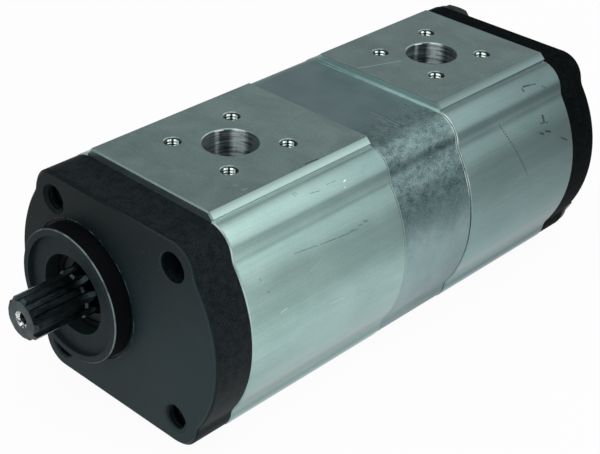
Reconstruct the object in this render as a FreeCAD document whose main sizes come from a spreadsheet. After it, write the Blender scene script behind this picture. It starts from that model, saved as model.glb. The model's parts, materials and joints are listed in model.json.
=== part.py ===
import FreeCAD, Part
import math
import os

import Sketcher
from FreeCAD import Placement, Rotation, Vector

# Tandem gear pump: two external gear stages on one drive line.
# The origin is on the drive shaft's axis, in the plane of the mounting face.
# +Y runs from the mounting face to the rear cover, +X to the driven gears, +Z up.

doc = FreeCAD.newDocument("TandemGearPump")

# Driving sizes in millimetres, degrees for angles, with what each one is
SIZES = [
    # Case
    ("bolt_rows_x", 60.0, "case bolt spacing across the gears"),
    ("bolt_rows_z", 60.0, "case bolt spacing from top to bottom"),
    ("lobe_r", 10.7, "corner lobe round each case bolt"),
    ("barrel_dip", 0.15, "where the barrel sides meet the lobes' outer line, below the bolt rows"),
    ("blend_r", 8.0, "hollow blend between lobe and barrel"),
    ("cover_step", 0.25, "how far covers stand inside the bodies"),
    ("front_cover_thick", 16.5, "front cover"),
    ("rear_cover_thick", 16.0, "rear cover"),
    ("front_body_len", 76.0, "front gear housing"),
    ("middle_len", 38.5, "intermediate housing"),
    ("rear_body_len", 65.0, "rear gear housing"),
    ("flange_bevel", 1.1, "bevel on the front cover's outer edge"),
    ("hole_bevel", 0.6, "bevel at the mouths of the front cover's bolt holes"),
    ("body_bevel", 0.5, "bevel on the front edge of each gear housing"),
    ("edge_break", 0.25, "broken edges at the other joints of the case"),
    ("rear_edge_r", 2.5, "rounded rear edge of the rear cover"),
    # Port pads
    ("pad_inset", 0.7, "edge of the flat port pad inside the bolt rows"),
    ("pad_flank", 2.1, "bevelled flank of the pad, as wide as it is high"),
    ("pad_rise", 2.9, "pad above the case's flat top"),
    ("pad_foot", 0.1, "pad's foot below the case's flat top"),
    ("foot_groove_r", 0.45, "relief groove along the pad's foot"),
    ("suction_r", 10.0, "suction port bore, on top"),
    ("suction_pcd", 40.0, "suction flange screw circle"),
    ("pressure_r", 7.5, "pressure port bore, underneath"),
    ("pressure_pcd", 35.0, "pressure flange screw circle"),
    ("port_floor", 2.0, "port bore's floor outside the gear bore"),
    ("throat_step", 2.5, "port's throat to the gears, narrower than its bore"),
    ("port_screw_r", 3.0, "port flange screw thread, outer radius"),
    ("port_screw_depth", 13.0, "port flange screw hole depth"),
    ("port_screw_angle", 45.0, "screws from the pump's axis"),
    ("mouth_bevel", 0.4, "bevel at the mouth of a port"),
    # Fasteners
    ("tie_r", 5.0, "tie bolt thread and shank"),
    ("bolt_play", 0.5, "through hole round a case or mounting bolt"),
    ("tie_recess", 4.0, "tie bolt end below the mounting face"),
    ("head_flats", 16.0, "tie bolt head across flats"),
    ("head_height", 6.4, "tie bolt head"),
    ("head_top", 0.95, "round top of the head, as a share of its flats"),
    ("washer_r", 10.0, "washer under the tie bolt head"),
    ("washer_thick", 2.0, "washer thickness"),
    ("washer_play", 0.25, "washer bore round the shank"),
    ("seat_depth", 1.0, "spot face for each washer"),
    ("seat_play", 0.7, "spot face wider than its washer"),
    ("dowel_r", 3.0, "case dowel pin"),
    ("dowel_half", 5.0, "dowel depth in each of two sections"),
    ("dowel_inset", 10.0, "dowel inside the case's flat top or bottom"),
    ("dowel_play", 0.02, "dowel hole round its pin"),
    # Locating boss and shaft seal
    ("pilot_r", 25.0, "locating boss"),
    ("pilot_height", 6.8, "locating boss above the mounting face"),
    ("pilot_bevel", 0.4, "bevel on the boss"),
    ("relief_depth", 0.5, "relief groove in the mounting face, round the boss"),
    ("relief_width", 1.2, "width of that groove"),
    ("rim_wall", 2.7, "boss's rim round the recess in its face"),
    ("recess_depth", 2.0, "depth of that recess"),
    ("seal_wall", 6.0, "shaft seal's bore round the shaft"),
    ("seal_start", 2.2, "shaft seal's front face behind the mounting face"),
    ("seal_thick", 7.0, "shaft seal"),
    ("lip_play", 0.05, "seal lip round the shaft"),
    ("clip_thick", 1.2, "retaining ring"),
    ("clip_bite", 0.7, "retaining ring's reach into its groove"),
    ("clip_width", 2.0, "retaining ring's radial width in the bore"),
    ("clip_play", 0.1, "retaining ring groove wider than the ring"),
    ("clip_ear_r", 2.1, "retaining ring's ears"),
    ("clip_eye_r", 0.9, "holes in the ears"),
    ("clip_gap", 24.0, "half angle between the ears, degrees"),
    ("shaft_bore_play", 1.5, "cover bore behind the seal, round the shaft"),
    # Gears and shafts
    ("gear_teeth", 12.0, "teeth on each gear"),
    ("gear_module", 2.5, "module"),
    ("centre_shift", 0.8, "gear centres beyond the teeth's own, in modules"),
    ("pressure_angle", 20.0, "cutter's pressure angle, degrees"),
    ("tip_gap", 0.4, "tooth tip to the mating root"),
    ("flank_gap", 0.03, "thinning of each tooth flank"),
    ("tip_play", 0.05, "tooth tip to the housing bore"),
    ("side_play", 0.05, "gear side to bearing block"),
    ("journal_r", 9.0, "gear journals"),
    ("journal_play", 0.03, "journal in its bush"),
    ("end_play", 0.5, "journal ends short of the housing's end"),
    ("block_len", 22.0, "bearing block"),
    ("block_play", 0.03, "bearing block in the housing bore"),
    ("bush_wall", 2.0, "bearing bush's wall"),
    ("bush_short", 1.0, "bush shorter than its block"),
    ("vent_half", 3.0, "half width of a block's relief pocket"),
    ("vent_depth", 1.2, "depth of that pocket"),
    ("vent_start", 2.6, "relief pocket from the line of centres"),
    ("shaft_out", 26.5, "shaft end in front of the mounting face"),
    ("spline_teeth", 9.0, "teeth on the shaft splines"),
    ("spline_step", 0.75, "spline's outside inside the journals"),
    ("spline_tooth", 1.25, "spline's outside to its root"),
    ("spline_tip_angle", 7.0, "half angle of a spline tooth at its tip, degrees"),
    ("spline_root_angle", 12.5, "half angle of a spline tooth at its root, degrees"),
    ("spline_len", 19.0, "full depth of the drive spline"),
    ("runout_r", 10.0, "cutter radius at the end of the drive spline"),
    ("runout_angle", 38.0, "cutter's exit, degrees"),
    ("spline_land", 1.5, "spline's full depth to the thicker shank"),
    ("end_bevel", 1.2, "bevel on the shaft's end"),
    ("centre_r", 2.1, "centre hole in the shaft's end"),
    ("centre_mouth", 1.0, "countersink at the mouth of the centre hole"),
    ("centre_depth", 9.0, "depth of the centre hole"),
    ("stub_gap", 11.0, "between the two inner spline stubs"),
    ("coupling_wall", 2.75, "coupling sleeve round the spline"),
    ("coupling_gap", 2.5, "sleeve's end to the gear housings"),
    ("coupling_play", 0.08, "sleeve's spline round the stubs"),
    ("coupling_room", 1.2, "middle housing's bore round the sleeve"),
    # Static seals
    ("ring_r", 0.9, "housing seal's cord radius"),
    ("ring_wall", 2.0, "housing bore to seal groove"),
    ("ring_play", 0.1, "seal groove wider than its cord, each side"),
    ("load_gap", 2.6, "pressure seal's arc outside the bushes"),
    ("load_width", 1.8, "pressure seal's width"),
    ("load_depth", 1.6, "pressure seal's depth"),
    ("load_drop", 14.0, "height of the pressure seal's middle arc centre"),
    ("load_play", 0.05, "pressure seal groove wider than the seal, each side"),
]

sheet = doc.addObject("Spreadsheet::Sheet", "Sizes")


class Size:
    """A length that knows its value and the sheet expression it comes from."""

    def __init__(self, value, text):
        self.value = value
        self.text = text

    @staticmethod
    def of(other):
        if isinstance(other, Size):
            return other
        return Size(float(other), repr(other))

    def __add__(self, other):
        other = Size.of(other)
        return Size(self.value + other.value, f"({self.text} + {other.text})")

    def __sub__(self, other):
        other = Size.of(other)
        return Size(self.value - other.value, f"({self.text} - {other.text})")

    def __mul__(self, other):
        other = Size.of(other)
        return Size(self.value * other.value, f"({self.text} * {other.text})")

    def __truediv__(self, other):
        other = Size.of(other)
        return Size(self.value / other.value, f"({self.text} / {other.text})")

    def __neg__(self):
        return Size(-self.value, f"(-1 * {self.text})")


def whole(size):
    return Size(math.floor(size.value), f"floor({size.text})")


def root(size):
    return Size(math.sqrt(size.value), f"sqrt({size.text})")


class Sizes:
    """The sheet's cells as attributes, such as at.lobe_r."""


at = Sizes()
for row, (alias, value, meaning) in enumerate(SIZES, start=1):
    sheet.set(f"A{row}", alias)
    sheet.set(f"B{row}", str(value))
    sheet.set(f"C{row}", meaning)
    sheet.setAlias(f"B{row}", alias)
    setattr(at, alias, Size(value, f"Sizes.{alias}"))
doc.recompute()

# Gears and shafts
gear_centres = at.gear_module * (whole(at.gear_teeth) + at.centre_shift)
bush_r = at.journal_r + at.bush_wall
load_r = bush_r + at.load_gap
spline_r = at.journal_r - at.spline_step
spline_root_r = spline_r - at.spline_tooth
shaft_step = at.spline_len + at.spline_land
centre_mouth_r = at.centre_r + at.centre_mouth
stub_len = (at.middle_len - at.stub_gap) / 2
coupling_r = spline_r + at.coupling_wall
coupling_len = at.middle_len - at.coupling_gap * 2
coupling_bore_r = coupling_r + at.coupling_room

# Across the case
case_x = gear_centres / 2
half_x = at.bolt_rows_x / 2
half_z = at.bolt_rows_z / 2
bolt_hole_r = at.tie_r + at.bolt_play
body_half_z = half_z + at.lobe_r
barrel_x = half_x + at.lobe_r
barrel_z = half_z - at.barrel_dip
barrel_r = root(barrel_x * barrel_x + barrel_z * barrel_z)
pad_half = half_x - at.pad_inset
pad_top = body_half_z + at.pad_rise
dowel_z = body_half_z - at.dowel_inset
recess_r = at.pilot_r - at.rim_wall
seal_r = at.journal_r + at.seal_wall
shaft_bore_r = at.journal_r + at.shaft_bore_play

# Along the pump, front to rear
front_body_y = at.front_cover_thick
middle_y = front_body_y + at.front_body_len
rear_body_y = middle_y + at.middle_len
rear_cover_y = rear_body_y + at.rear_body_len
case_end_y = rear_cover_y + at.rear_cover_thick

# Tooth form: two equal gears, shifted to run on the given centres
teeth = int(at.gear_teeth.value)
pitch_r = at.gear_module.value * teeth / 2
cut_angle = math.radians(at.pressure_angle.value)
base_r = pitch_r * math.cos(cut_angle)
work_angle = math.acos(2 * base_r / gear_centres.value)


def involute(angle):
    return math.tan(angle) - angle


tooth_shift = (involute(work_angle) - involute(cut_angle)) * teeth / (2 * math.tan(cut_angle))
root_r = pitch_r + at.gear_module.value * (tooth_shift - 1.25)
tip_r = gear_centres.value - root_r - at.tip_gap.value
chamber_r = Size(tip_r, repr(tip_r)) + at.tip_play
port_floor_z = chamber_r + at.port_floor


def bind(feature, name, size):
    """Set a property to a size and tie it to the sheet."""
    size = Size.of(size)
    feature.setExpression(name, size.text)


def place_y(feature, size):
    """Stand a finished piece at its place along the pump."""
    bind(feature, "Placement.Base.y", size)


def origin_plane(body, role):
    for feature in body.Origin.OriginFeatures:
        if feature.Role == role:
            return feature
    raise ValueError(role)


class Piece:
    """A body in its own frame, its front face at y = 0, built by features."""

    def __init__(self, label):
        self.body = doc.addObject("PartDesign::Body", label)
        self.body.Label = label
        self.count = 0

    def sketch(self, role="XZ_Plane", shift=None):
        """A sketch on XZ looks to -Y, one on XY looks to +Z."""
        self.count += 1
        name = f"{self.body.Label}_sketch_{self.count}"
        made = self.body.newObject("Sketcher::SketchObject", name)
        made.AttachmentSupport = [(origin_plane(self.body, role), "")]
        made.MapMode = "FlatFace"
        if shift is not None:
            for axis, size in zip("xyz", shift):
                bind(made, f"AttachmentOffset.Base.{axis}", size)
        return made

    def feature(self, kind, name, profile=None):
        made = self.body.newObject(f"PartDesign::{kind}", f"{self.body.Label}_{name}")
        if profile is not None:
            made.Profile = profile
            profile.Visibility = False
        return made

    def pad(self, name, profile, length, backwards=True):
        """Backwards from an XZ sketch is towards the rear, +Y."""
        made = self.feature("Pad", name, profile)
        bind(made, "Length", length)
        made.Reversed = backwards
        return self.check(made)

    def cut(self, name, profile, depth=None, backwards=False):
        """A cut that takes nothing away is a mistake, so it is refused."""
        doc.recompute()
        before = self.body.Shape.Volume
        made = self.feature("Pocket", name, profile)
        if depth is None:
            made.Type = "ThroughAll"
        else:
            bind(made, "Length", depth)
        made.Reversed = backwards
        self.check(made)
        if self.body.Shape.Volume > before - 0.01:
            raise ValueError(f"{self.body.Label} {name} cuts nothing")
        return made

    def turn(self, kind, name, profile):
        """A full turn about the pump's axis direction, the sketch's upright axis."""
        made = self.feature(kind, name, profile)
        made.ReferenceAxis = (profile, ["V_Axis"])
        made.Angle = 360
        return self.check(made)

    def dress(self, kind, name, edges, size):
        base = self.body.Tip
        made = self.feature(kind, name)
        made.Base = (base, edges)
        bind(made, "Size" if kind == "Chamfer" else "Radius", size)
        return self.check(made)

    def check(self, made):
        doc.recompute()
        if made.Shape.isNull() or "Invalid" in made.State:
            raise ValueError(f"{made.Label} failed")
        self.body.Tip = made
        return made

    def edges(self, wanted):
        """Names of the tip's edges that pass a test."""
        found = []
        for number, edge in enumerate(self.body.Tip.Shape.Edges, start=1):
            if wanted(edge):
                found.append(f"Edge{number}")
        if not found:
            raise ValueError(f"{self.body.Label} has no such edge")
        return found


def hold_point(sketch, curve, end, x, y):
    """Tie one point of a curve to the sketch's axes."""
    for kind, axis, size in (("DistanceX", -2, x), ("DistanceY", -1, y)):
        size = Size.of(size)
        if size.value == 0:
            sketch.addConstraint(Sketcher.Constraint("PointOnObject", curve, end, axis))
            continue
        index = sketch.addConstraint(Sketcher.Constraint(kind, -1, 1, curve, end, size.value))
        sketch.setExpression(f"Constraints[{index}]", size.text)


def hold_radius(sketch, curve, size):
    index = sketch.addConstraint(Sketcher.Constraint("Radius", curve, size.value))
    sketch.setExpression(f"Constraints[{index}]", size.text)


def draw_circle(sketch, x, y, radius):
    x, y = Size.of(x), Size.of(y)
    centre = Vector(x.value, y.value, 0)
    curve = sketch.addGeometry(Part.Circle(centre, Vector(0, 0, 1), radius.value))
    hold_radius(sketch, curve, radius)
    hold_point(sketch, curve, 3, x, y)


def draw_polygon(sketch, points):
    points = [(Size.of(x), Size.of(y)) for x, y in points]
    spots = [Vector(x.value, y.value, 0) for x, y in points]
    lines = []
    for index, spot in enumerate(spots):
        following = spots[(index + 1) % len(spots)]
        lines.append(sketch.addGeometry(Part.LineSegment(spot, following)))
    for index, line in enumerate(lines):
        following = lines[(index + 1) % len(lines)]
        sketch.addConstraint(Sketcher.Constraint("Coincident", line, 2, following, 1))
    for line, (x, y) in zip(lines, points):
        hold_point(sketch, line, 1, x, y)


def draw_arc(sketch, centre, radius, start, end):
    circle = Part.Circle(Vector(centre[0].value, centre[1].value, 0), Vector(0, 0, 1), radius.value)
    curve = sketch.addGeometry(Part.ArcOfCircle(circle, start, end))
    hold_radius(sketch, curve, radius)
    return curve


def case_outline(sketch, inset=0):
    """Four lobes, four hollow blends, two barrel sides, a flat top and a flat bottom."""
    lobe_r = at.lobe_r - inset
    side_r = barrel_r - inset
    blend_r = at.blend_r + inset
    reach = math.hypot(half_x.value, half_z.value)
    near = lobe_r.value + blend_r.value
    far = side_r.value + blend_r.value
    swing = math.acos((far ** 2 + reach ** 2 - near ** 2) / (2 * far * reach))
    blend_turn = math.atan2(half_z.value, half_x.value) - swing
    blend_x = Size.of(far * math.cos(blend_turn))
    blend_z = Size.of(far * math.sin(blend_turn))
    lobe_turn = math.atan2(blend_z.value - half_z.value, blend_x.value - half_x.value)
    quarter = math.pi / 2

    def turned(side, height, angle):
        """The same angle on another quarter of the case."""
        return math.atan2(height * math.sin(angle), side * math.cos(angle))

    def corner_arc(side, height, centre, radius, first, last):
        """An arc given by its ends on the upper right quarter, drawn the short way."""
        one = turned(side, height, first)
        two = turned(side, height, last)
        if (two - one) % (2 * math.pi) > math.pi:
            one, two = two, one
        place = (case_x + centre[0] * side, centre[1] * height)
        return draw_arc(sketch, place, radius, one, one + (two - one) % (2 * math.pi))

    corner = {}
    for side in (1, -1):
        for height in (1, -1):
            ends = (blend_turn + math.pi, lobe_turn + math.pi)
            lobe = corner_arc(side, height, (half_x, half_z), lobe_r, lobe_turn, quarter)
            blend = corner_arc(side, height, (blend_x, blend_z), blend_r, *ends)
            corner[side, height] = (lobe, blend)
            hold_point(sketch, lobe, 3, case_x + half_x * side, half_z * height)
    barrels = {}
    for side in (1, -1):
        start = -blend_turn if side == 1 else math.pi - blend_turn
        end = blend_turn if side == 1 else math.pi + blend_turn
        barrels[side] = draw_arc(sketch, (case_x, Size.of(0)), side_r, start, end)
        hold_point(sketch, barrels[side], 3, case_x, 0)
    flats = {}
    for height in (1, -1):
        z = height * (half_z.value + lobe_r.value)
        left = Vector(case_x.value - half_x.value, z, 0)
        right = Vector(case_x.value + half_x.value, z, 0)
        flats[height] = sketch.addGeometry(Part.LineSegment(left, right))

    def join(one, one_end, two, two_end):
        sketch.addConstraint(Sketcher.Constraint("Tangent", one, one_end, two, two_end))

    # An arc's first end is the one it leaves anticlockwise
    for side in (1, -1):
        for height in (1, -1):
            lobe, blend = corner[side, height]
            outer = side * height == 1
            join(lobe, 2 if outer else 1, flats[height], 2 if side == 1 else 1)
            join(lobe, 1 if outer else 2, blend, 1 if outer else 2)
            join(blend, 2 if outer else 1, barrels[side], 2 if outer else 1)


def eight_outline(sketch, radius):
    """Two overlapping circles on the gear axes, as one outline."""
    meet = math.acos(case_x.value / radius.value)
    left = draw_arc(sketch, (Size.of(0), Size.of(0)), radius, meet, 2 * math.pi - meet)
    right = draw_arc(sketch, (gear_centres, Size.of(0)), radius, math.pi + meet, 3 * math.pi - meet)
    sketch.addConstraint(Sketcher.Constraint("Coincident", left, 2, right, 1))
    sketch.addConstraint(Sketcher.Constraint("Coincident", right, 2, left, 1))
    hold_point(sketch, left, 3, 0, 0)
    hold_point(sketch, right, 3, gear_centres, 0)


def oval_outline(sketch, radius):
    """A straight-sided oval about both gear axes."""
    quarter = math.pi / 2
    left = draw_arc(sketch, (Size.of(0), Size.of(0)), radius, quarter, 3 * quarter)
    right = draw_arc(sketch, (gear_centres, Size.of(0)), radius, -quarter, quarter)
    ends = {}
    for height in (1, -1):
        start = Vector(0, height * radius.value, 0)
        finish = Vector(gear_centres.value, height * radius.value, 0)
        ends[height] = sketch.addGeometry(Part.LineSegment(start, finish))
    for one, one_end, two, two_end in (
        (left, 1, ends[1], 1),
        (left, 2, ends[-1], 1),
        (right, 1, ends[-1], 2),
        (right, 2, ends[1], 2),
    ):
        sketch.addConstraint(Sketcher.Constraint("Tangent", one, one_end, two, two_end))
    hold_point(sketch, left, 3, 0, 0)
    hold_point(sketch, right, 3, gear_centres, 0)


def bolt_places():
    """Case bolt axes: right and left, top and bottom."""
    for side in (1, -1):
        for height in (1, -1):
            yield side, height, case_x + half_x * side, half_z * height


def is_tie(side, height):
    """Tie bolts hold the upper left and lower right corners."""
    return side != height


def drill_bolt_holes(piece, tapped=False):
    sketch = piece.sketch()
    for side, height, x, z in bolt_places():
        radius = at.tie_r if tapped and is_tie(side, height) else bolt_hole_r
        draw_circle(sketch, x, z, radius)
    piece.cut("bolt_holes", sketch)


def drill_dowel_holes(piece, name, length=None):
    """In the front face, or in the rear face of a section of the given length."""
    sketch = piece.sketch(shift=None if length is None else (0, 0, -length))
    for height in (1, -1):
        draw_circle(sketch, case_x, dowel_z * height, at.dowel_r + at.dowel_play)
    piece.cut(name, sketch, at.dowel_half, backwards=length is not None)


def in_face(*faces):
    """A test for edges that lie in the end faces at the given places."""
    def wanted(edge):
        box = edge.BoundBox
        places = [Size.of(y).value for y in faces]
        return any(abs(box.YMin - y) < 1e-4 and abs(box.YMax - y) < 1e-4 for y in places)
    return wanted


def round_edge(axis, place, *radii):
    """A test for holes' mouths of the given radii, at a place along an axis."""
    def wanted(edge):
        if not isinstance(edge.Curve, Part.Circle):
            return False
        right_size = any(abs(edge.Curve.Radius - radius.value) < 1e-4 for radius in radii)
        return right_size and abs(getattr(edge.Curve.Center, axis) - Size.of(place).value) < 1e-4
    return wanted


def make_housing(label, length):
    """A gear housing: extruded case with port pads, a bore for the gears and four seals."""
    piece = Piece(label)
    outline = piece.sketch()
    case_outline(outline)
    piece.pad("case", outline, length)
    pads = piece.sketch()
    wide = pad_half + at.pad_flank
    quarter = [(pad_half, pad_top), (wide, pad_top - at.pad_flank)]
    points = [(case_x + x, z) for x, z in quarter]
    points += [(case_x + x, -z) for x, z in reversed(quarter)]
    points += [(case_x - x, -z) for x, z in quarter]
    points += [(case_x - x, z) for x, z in reversed(quarter)]
    draw_polygon(pads, points)
    piece.pad("pads", pads, length)
    piece.dress("Chamfer", "front_edge", piece.edges(in_face(0)), at.body_bevel)
    piece.dress("Chamfer", "rear_edge", piece.edges(in_face(length)), at.edge_break)
    feet = piece.sketch()
    foot_z = body_half_z - at.pad_foot
    for side in (1, -1):
        for height in (1, -1):
            draw_circle(feet, case_x + wide * side, foot_z * height, at.foot_groove_r)
    piece.cut("foot_grooves", feet)
    chamber = piece.sketch()
    eight_outline(chamber, chamber_r)
    piece.cut("chamber", chamber)
    drill_bolt_holes(piece)
    inner = chamber_r + at.ring_wall
    outer = inner + at.ring_r * 2 + at.ring_play * 2
    for name, shift in (("front", None), ("rear", (0, 0, -length))):
        groove = piece.sketch(shift=shift)
        oval_outline(groove, outer)
        oval_outline(groove, inner)
        piece.cut(f"{name}_seal_groove", groove, at.ring_r * 2, backwards=shift is not None)
        drill_dowel_holes(piece, f"{name}_dowel_holes", length if shift else None)
    ports = (
        ("suction", 1, at.suction_r, at.suction_pcd),
        ("pressure", -1, at.pressure_r, at.pressure_pcd),
    )
    for name, height, radius, circle in ports:
        below = height == -1
        seat = (case_x, length / 2, pad_top * height)
        bore = piece.sketch("XY_Plane", seat)
        draw_circle(bore, 0, 0, radius)
        piece.cut(f"{name}_bore", bore, pad_top - port_floor_z, backwards=below)
        throat = piece.sketch("XY_Plane", seat)
        draw_circle(throat, 0, 0, radius - at.throat_step)
        piece.cut(f"{name}_throat", throat, pad_top - case_x / 2, backwards=below)
        turn = math.radians(at.port_screw_angle.value)
        screw = piece.sketch("XY_Plane", seat)
        arm = circle / 2
        x = Size(arm.value * math.sin(turn), f"{arm.text} * sin({at.port_screw_angle.text} * 1 deg)")
        y = Size(arm.value * math.cos(turn), f"{arm.text} * cos({at.port_screw_angle.text} * 1 deg)")
        draw_circle(screw, x, y, at.port_screw_r)
        hole = piece.cut(f"{name}_screw", screw, at.port_screw_depth, backwards=below)
        ring = piece.feature("PolarPattern", f"{name}_screws")
        ring.Originals = [hole]
        ring.Axis = (screw, ["N_Axis"])
        ring.Angle = 360
        ring.Occurrences = 4
        piece.check(ring)
        mouths = piece.edges(round_edge("z", pad_top * height, radius, at.port_screw_r))
        piece.dress("Chamfer", f"{name}_mouths", mouths, at.mouth_bevel)
    return piece


def make_middle():
    """The intermediate housing, bored for the sleeve that joins the two shafts."""
    piece = Piece("middle_housing")
    outline = piece.sketch()
    case_outline(outline, at.cover_step)
    piece.pad("case", outline, at.middle_len)
    piece.dress("Chamfer", "end_edges", piece.edges(in_face(0, at.middle_len)), at.edge_break)
    bore = piece.sketch()
    draw_circle(bore, 0, 0, coupling_bore_r)
    piece.cut("coupling_bore", bore)
    drill_bolt_holes(piece)
    drill_dowel_holes(piece, "front_dowel_holes")
    drill_dowel_holes(piece, "rear_dowel_holes", at.middle_len)
    place_y(piece.body, middle_y)
    return piece


def make_front_cover():
    """Mounting flange with the locating boss and the shaft seal's seat."""
    piece = Piece("front_cover")
    outline = piece.sketch()
    case_outline(outline, at.cover_step)
    piece.pad("flange", outline, at.front_cover_thick)
    piece.dress("Chamfer", "front_edge", piece.edges(in_face(0)), at.flange_bevel)
    piece.dress("Chamfer", "rear_edge", piece.edges(in_face(at.front_cover_thick)), at.edge_break)
    drill_bolt_holes(piece, tapped=True)
    mouths = piece.edges(round_edge("y", 0, at.tie_r, bolt_hole_r))
    piece.dress("Chamfer", "hole_mouths", mouths, at.hole_bevel)
    boss = piece.sketch("XY_Plane")
    rim = -at.pilot_height
    floor = rim + at.recess_depth
    draw_polygon(boss, [
        (0, at.front_cover_thick / 2),
        (0, floor),
        (recess_r, floor),
        (recess_r, rim),
        (at.pilot_r - at.pilot_bevel, rim),
        (at.pilot_r, rim + at.pilot_bevel),
        (at.pilot_r, at.front_cover_thick / 2),
    ])
    piece.turn("Revolution", "boss", boss)
    relief = piece.sketch("XY_Plane")
    outside = at.pilot_r + at.relief_width
    draw_polygon(relief, [
        (at.pilot_r, -at.relief_depth),
        (outside, -at.relief_depth),
        (outside, at.relief_depth),
        (at.pilot_r, at.relief_depth),
    ])
    piece.turn("Groove", "relief", relief)
    bore = piece.sketch("XY_Plane")
    clip_front = at.seal_start - at.clip_thick - at.clip_play
    groove_r = seal_r + at.clip_bite + at.clip_play
    seat = at.seal_start + at.seal_thick
    draw_polygon(bore, [
        (0, floor - 1),
        (seal_r, floor - 1),
        (seal_r, clip_front),
        (groove_r, clip_front),
        (groove_r, at.seal_start),
        (seal_r, at.seal_start),
        (seal_r, seat),
        (shaft_bore_r, seat),
        (shaft_bore_r, at.front_cover_thick + 1),
        (0, at.front_cover_thick + 1),
    ])
    piece.turn("Groove", "seal_bore", bore)
    drill_dowel_holes(piece, "dowel_holes", at.front_cover_thick)
    return piece


def make_rear_cover():
    """Rear cover with a spot face round each bolt hole."""
    piece = Piece("rear_cover")
    outline = piece.sketch()
    case_outline(outline, at.cover_step)
    piece.pad("plate", outline, at.rear_cover_thick)
    piece.dress("Chamfer", "front_edge", piece.edges(in_face(0)), at.edge_break)
    piece.dress("Fillet", "rear_edge", piece.edges(in_face(at.rear_cover_thick)), at.rear_edge_r)
    seats = piece.sketch(shift=(0, 0, -at.rear_cover_thick))
    for side, height, x, z in bolt_places():
        draw_circle(seats, x, z, at.washer_r + at.seat_play)
    piece.cut("spot_faces", seats, at.seat_depth, backwards=True)
    drill_bolt_holes(piece)
    drill_dowel_holes(piece, "dowel_holes")
    place_y(piece.body, rear_cover_y)
    return piece


def along_y(solid):
    """Turn an upright primitive so that it runs towards the rear."""
    solid.Placement = Placement(Vector(0, 0, 0), Rotation(Vector(1, 0, 0), -90))


def make_rod(name, radius, length, x=0, y=0, z=0):
    rod = doc.addObject("Part::Cylinder", name)
    along_y(rod)
    bind(rod, "Radius", radius)
    bind(rod, "Height", length)
    for axis, size in zip("xyz", (x, y, z)):
        bind(rod, f"Placement.Base.{axis}", size)
    return rod


def make_cut(label, base, tool):
    made = doc.addObject("Part::Cut", label)
    made.Base = base
    made.Tool = tool
    made.Label = label
    return made


def make_fuse(label, shapes):
    made = doc.addObject("Part::MultiFuse", label)
    made.Shapes = shapes
    made.Label = label
    return made


def make_ring(label, outer, inner, length, x=0, y=0, z=0):
    """A plain ring, such as a bush or a washer."""
    blank = make_rod(f"{label}_blank", outer, length, x, y, z)
    bore = make_rod(f"{label}_bore", inner, length, x, y, z)
    return make_cut(label, blank, bore)


def polar(radius, angle):
    """A point across the pump's axis."""
    return Vector(radius * math.cos(angle), 0, radius * math.sin(angle))


def arc_edge(radius, start, end):
    middle = polar(radius, (start + end) / 2)
    return Part.Arc(polar(radius, start), middle, polar(radius, end)).toShape()


def gear_outline():
    """Involute teeth, one of them pointing along +X."""
    pitch_half = (math.pi / 2 + 2 * tooth_shift * math.tan(cut_angle)) / teeth
    thin = at.flank_gap.value / (gear_centres.value / 2)
    base_half = pitch_half + involute(cut_angle) - thin
    tip_roll = math.sqrt((tip_r / base_r) ** 2 - 1)
    steps = 5

    def flank(side, centre):
        points = []
        for step in range(steps + 1):
            roll = tip_roll * step / steps
            half = base_half - (roll - math.atan(roll))
            points.append(polar(base_r * math.hypot(1, roll), centre + side * half))
        curve = Part.BSplineCurve()
        curve.interpolate(points)
        return curve.toShape(), points[0], half

    edges = []
    pitch = 2 * math.pi / teeth
    for index in range(teeth):
        centre = index * pitch
        rising, low, tip_half = flank(-1, centre)
        falling, end_low, tip_half = flank(1, centre)
        edges.append(Part.LineSegment(polar(root_r, centre - base_half), low).toShape())
        edges.append(rising)
        edges.append(arc_edge(tip_r, centre - tip_half, centre + tip_half))
        edges.append(falling)
        edges.append(Part.LineSegment(end_low, polar(root_r, centre + base_half)).toShape())
        edges.append(arc_edge(root_r, centre + base_half, centre + pitch - base_half))
    return Part.Wire(Part.__sortEdges__(edges))


def spline_outline(play):
    """Straight-flanked spline, grown all round by the play."""
    count = int(at.spline_teeth.value)
    tip = spline_r.value + play
    root = spline_root_r.value + play
    tip_half = math.radians(at.spline_tip_angle.value) + play / tip
    root_half = math.radians(at.spline_root_angle.value) + play / root
    pitch = 2 * math.pi / count
    edges = []
    for index in range(count):
        centre = index * pitch
        rise = (polar(root, centre - root_half), polar(tip, centre - tip_half))
        fall = (polar(tip, centre + tip_half), polar(root, centre + root_half))
        edges.append(Part.LineSegment(*rise).toShape())
        edges.append(arc_edge(tip, centre - tip_half, centre + tip_half))
        edges.append(Part.LineSegment(*fall).toShape())
        edges.append(arc_edge(root, centre + root_half, centre + pitch - root_half))
    return Part.Wire(Part.__sortEdges__(edges))


def make_prism(name, wire, length, y=0):
    """An outline drawn across the axis and drawn out towards the rear."""
    outline = doc.addObject("Part::Feature", f"{name}_outline")
    outline.Shape = Part.Face(wire)
    made = doc.addObject("Part::Extrusion", name)
    made.Base = outline
    made.DirMode = "Custom"
    made.Dir = Vector(0, 1, 0)
    made.Solid = True
    bind(made, "LengthFwd", length)
    bind(made, "Placement.Base.y", y)
    return made


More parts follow.
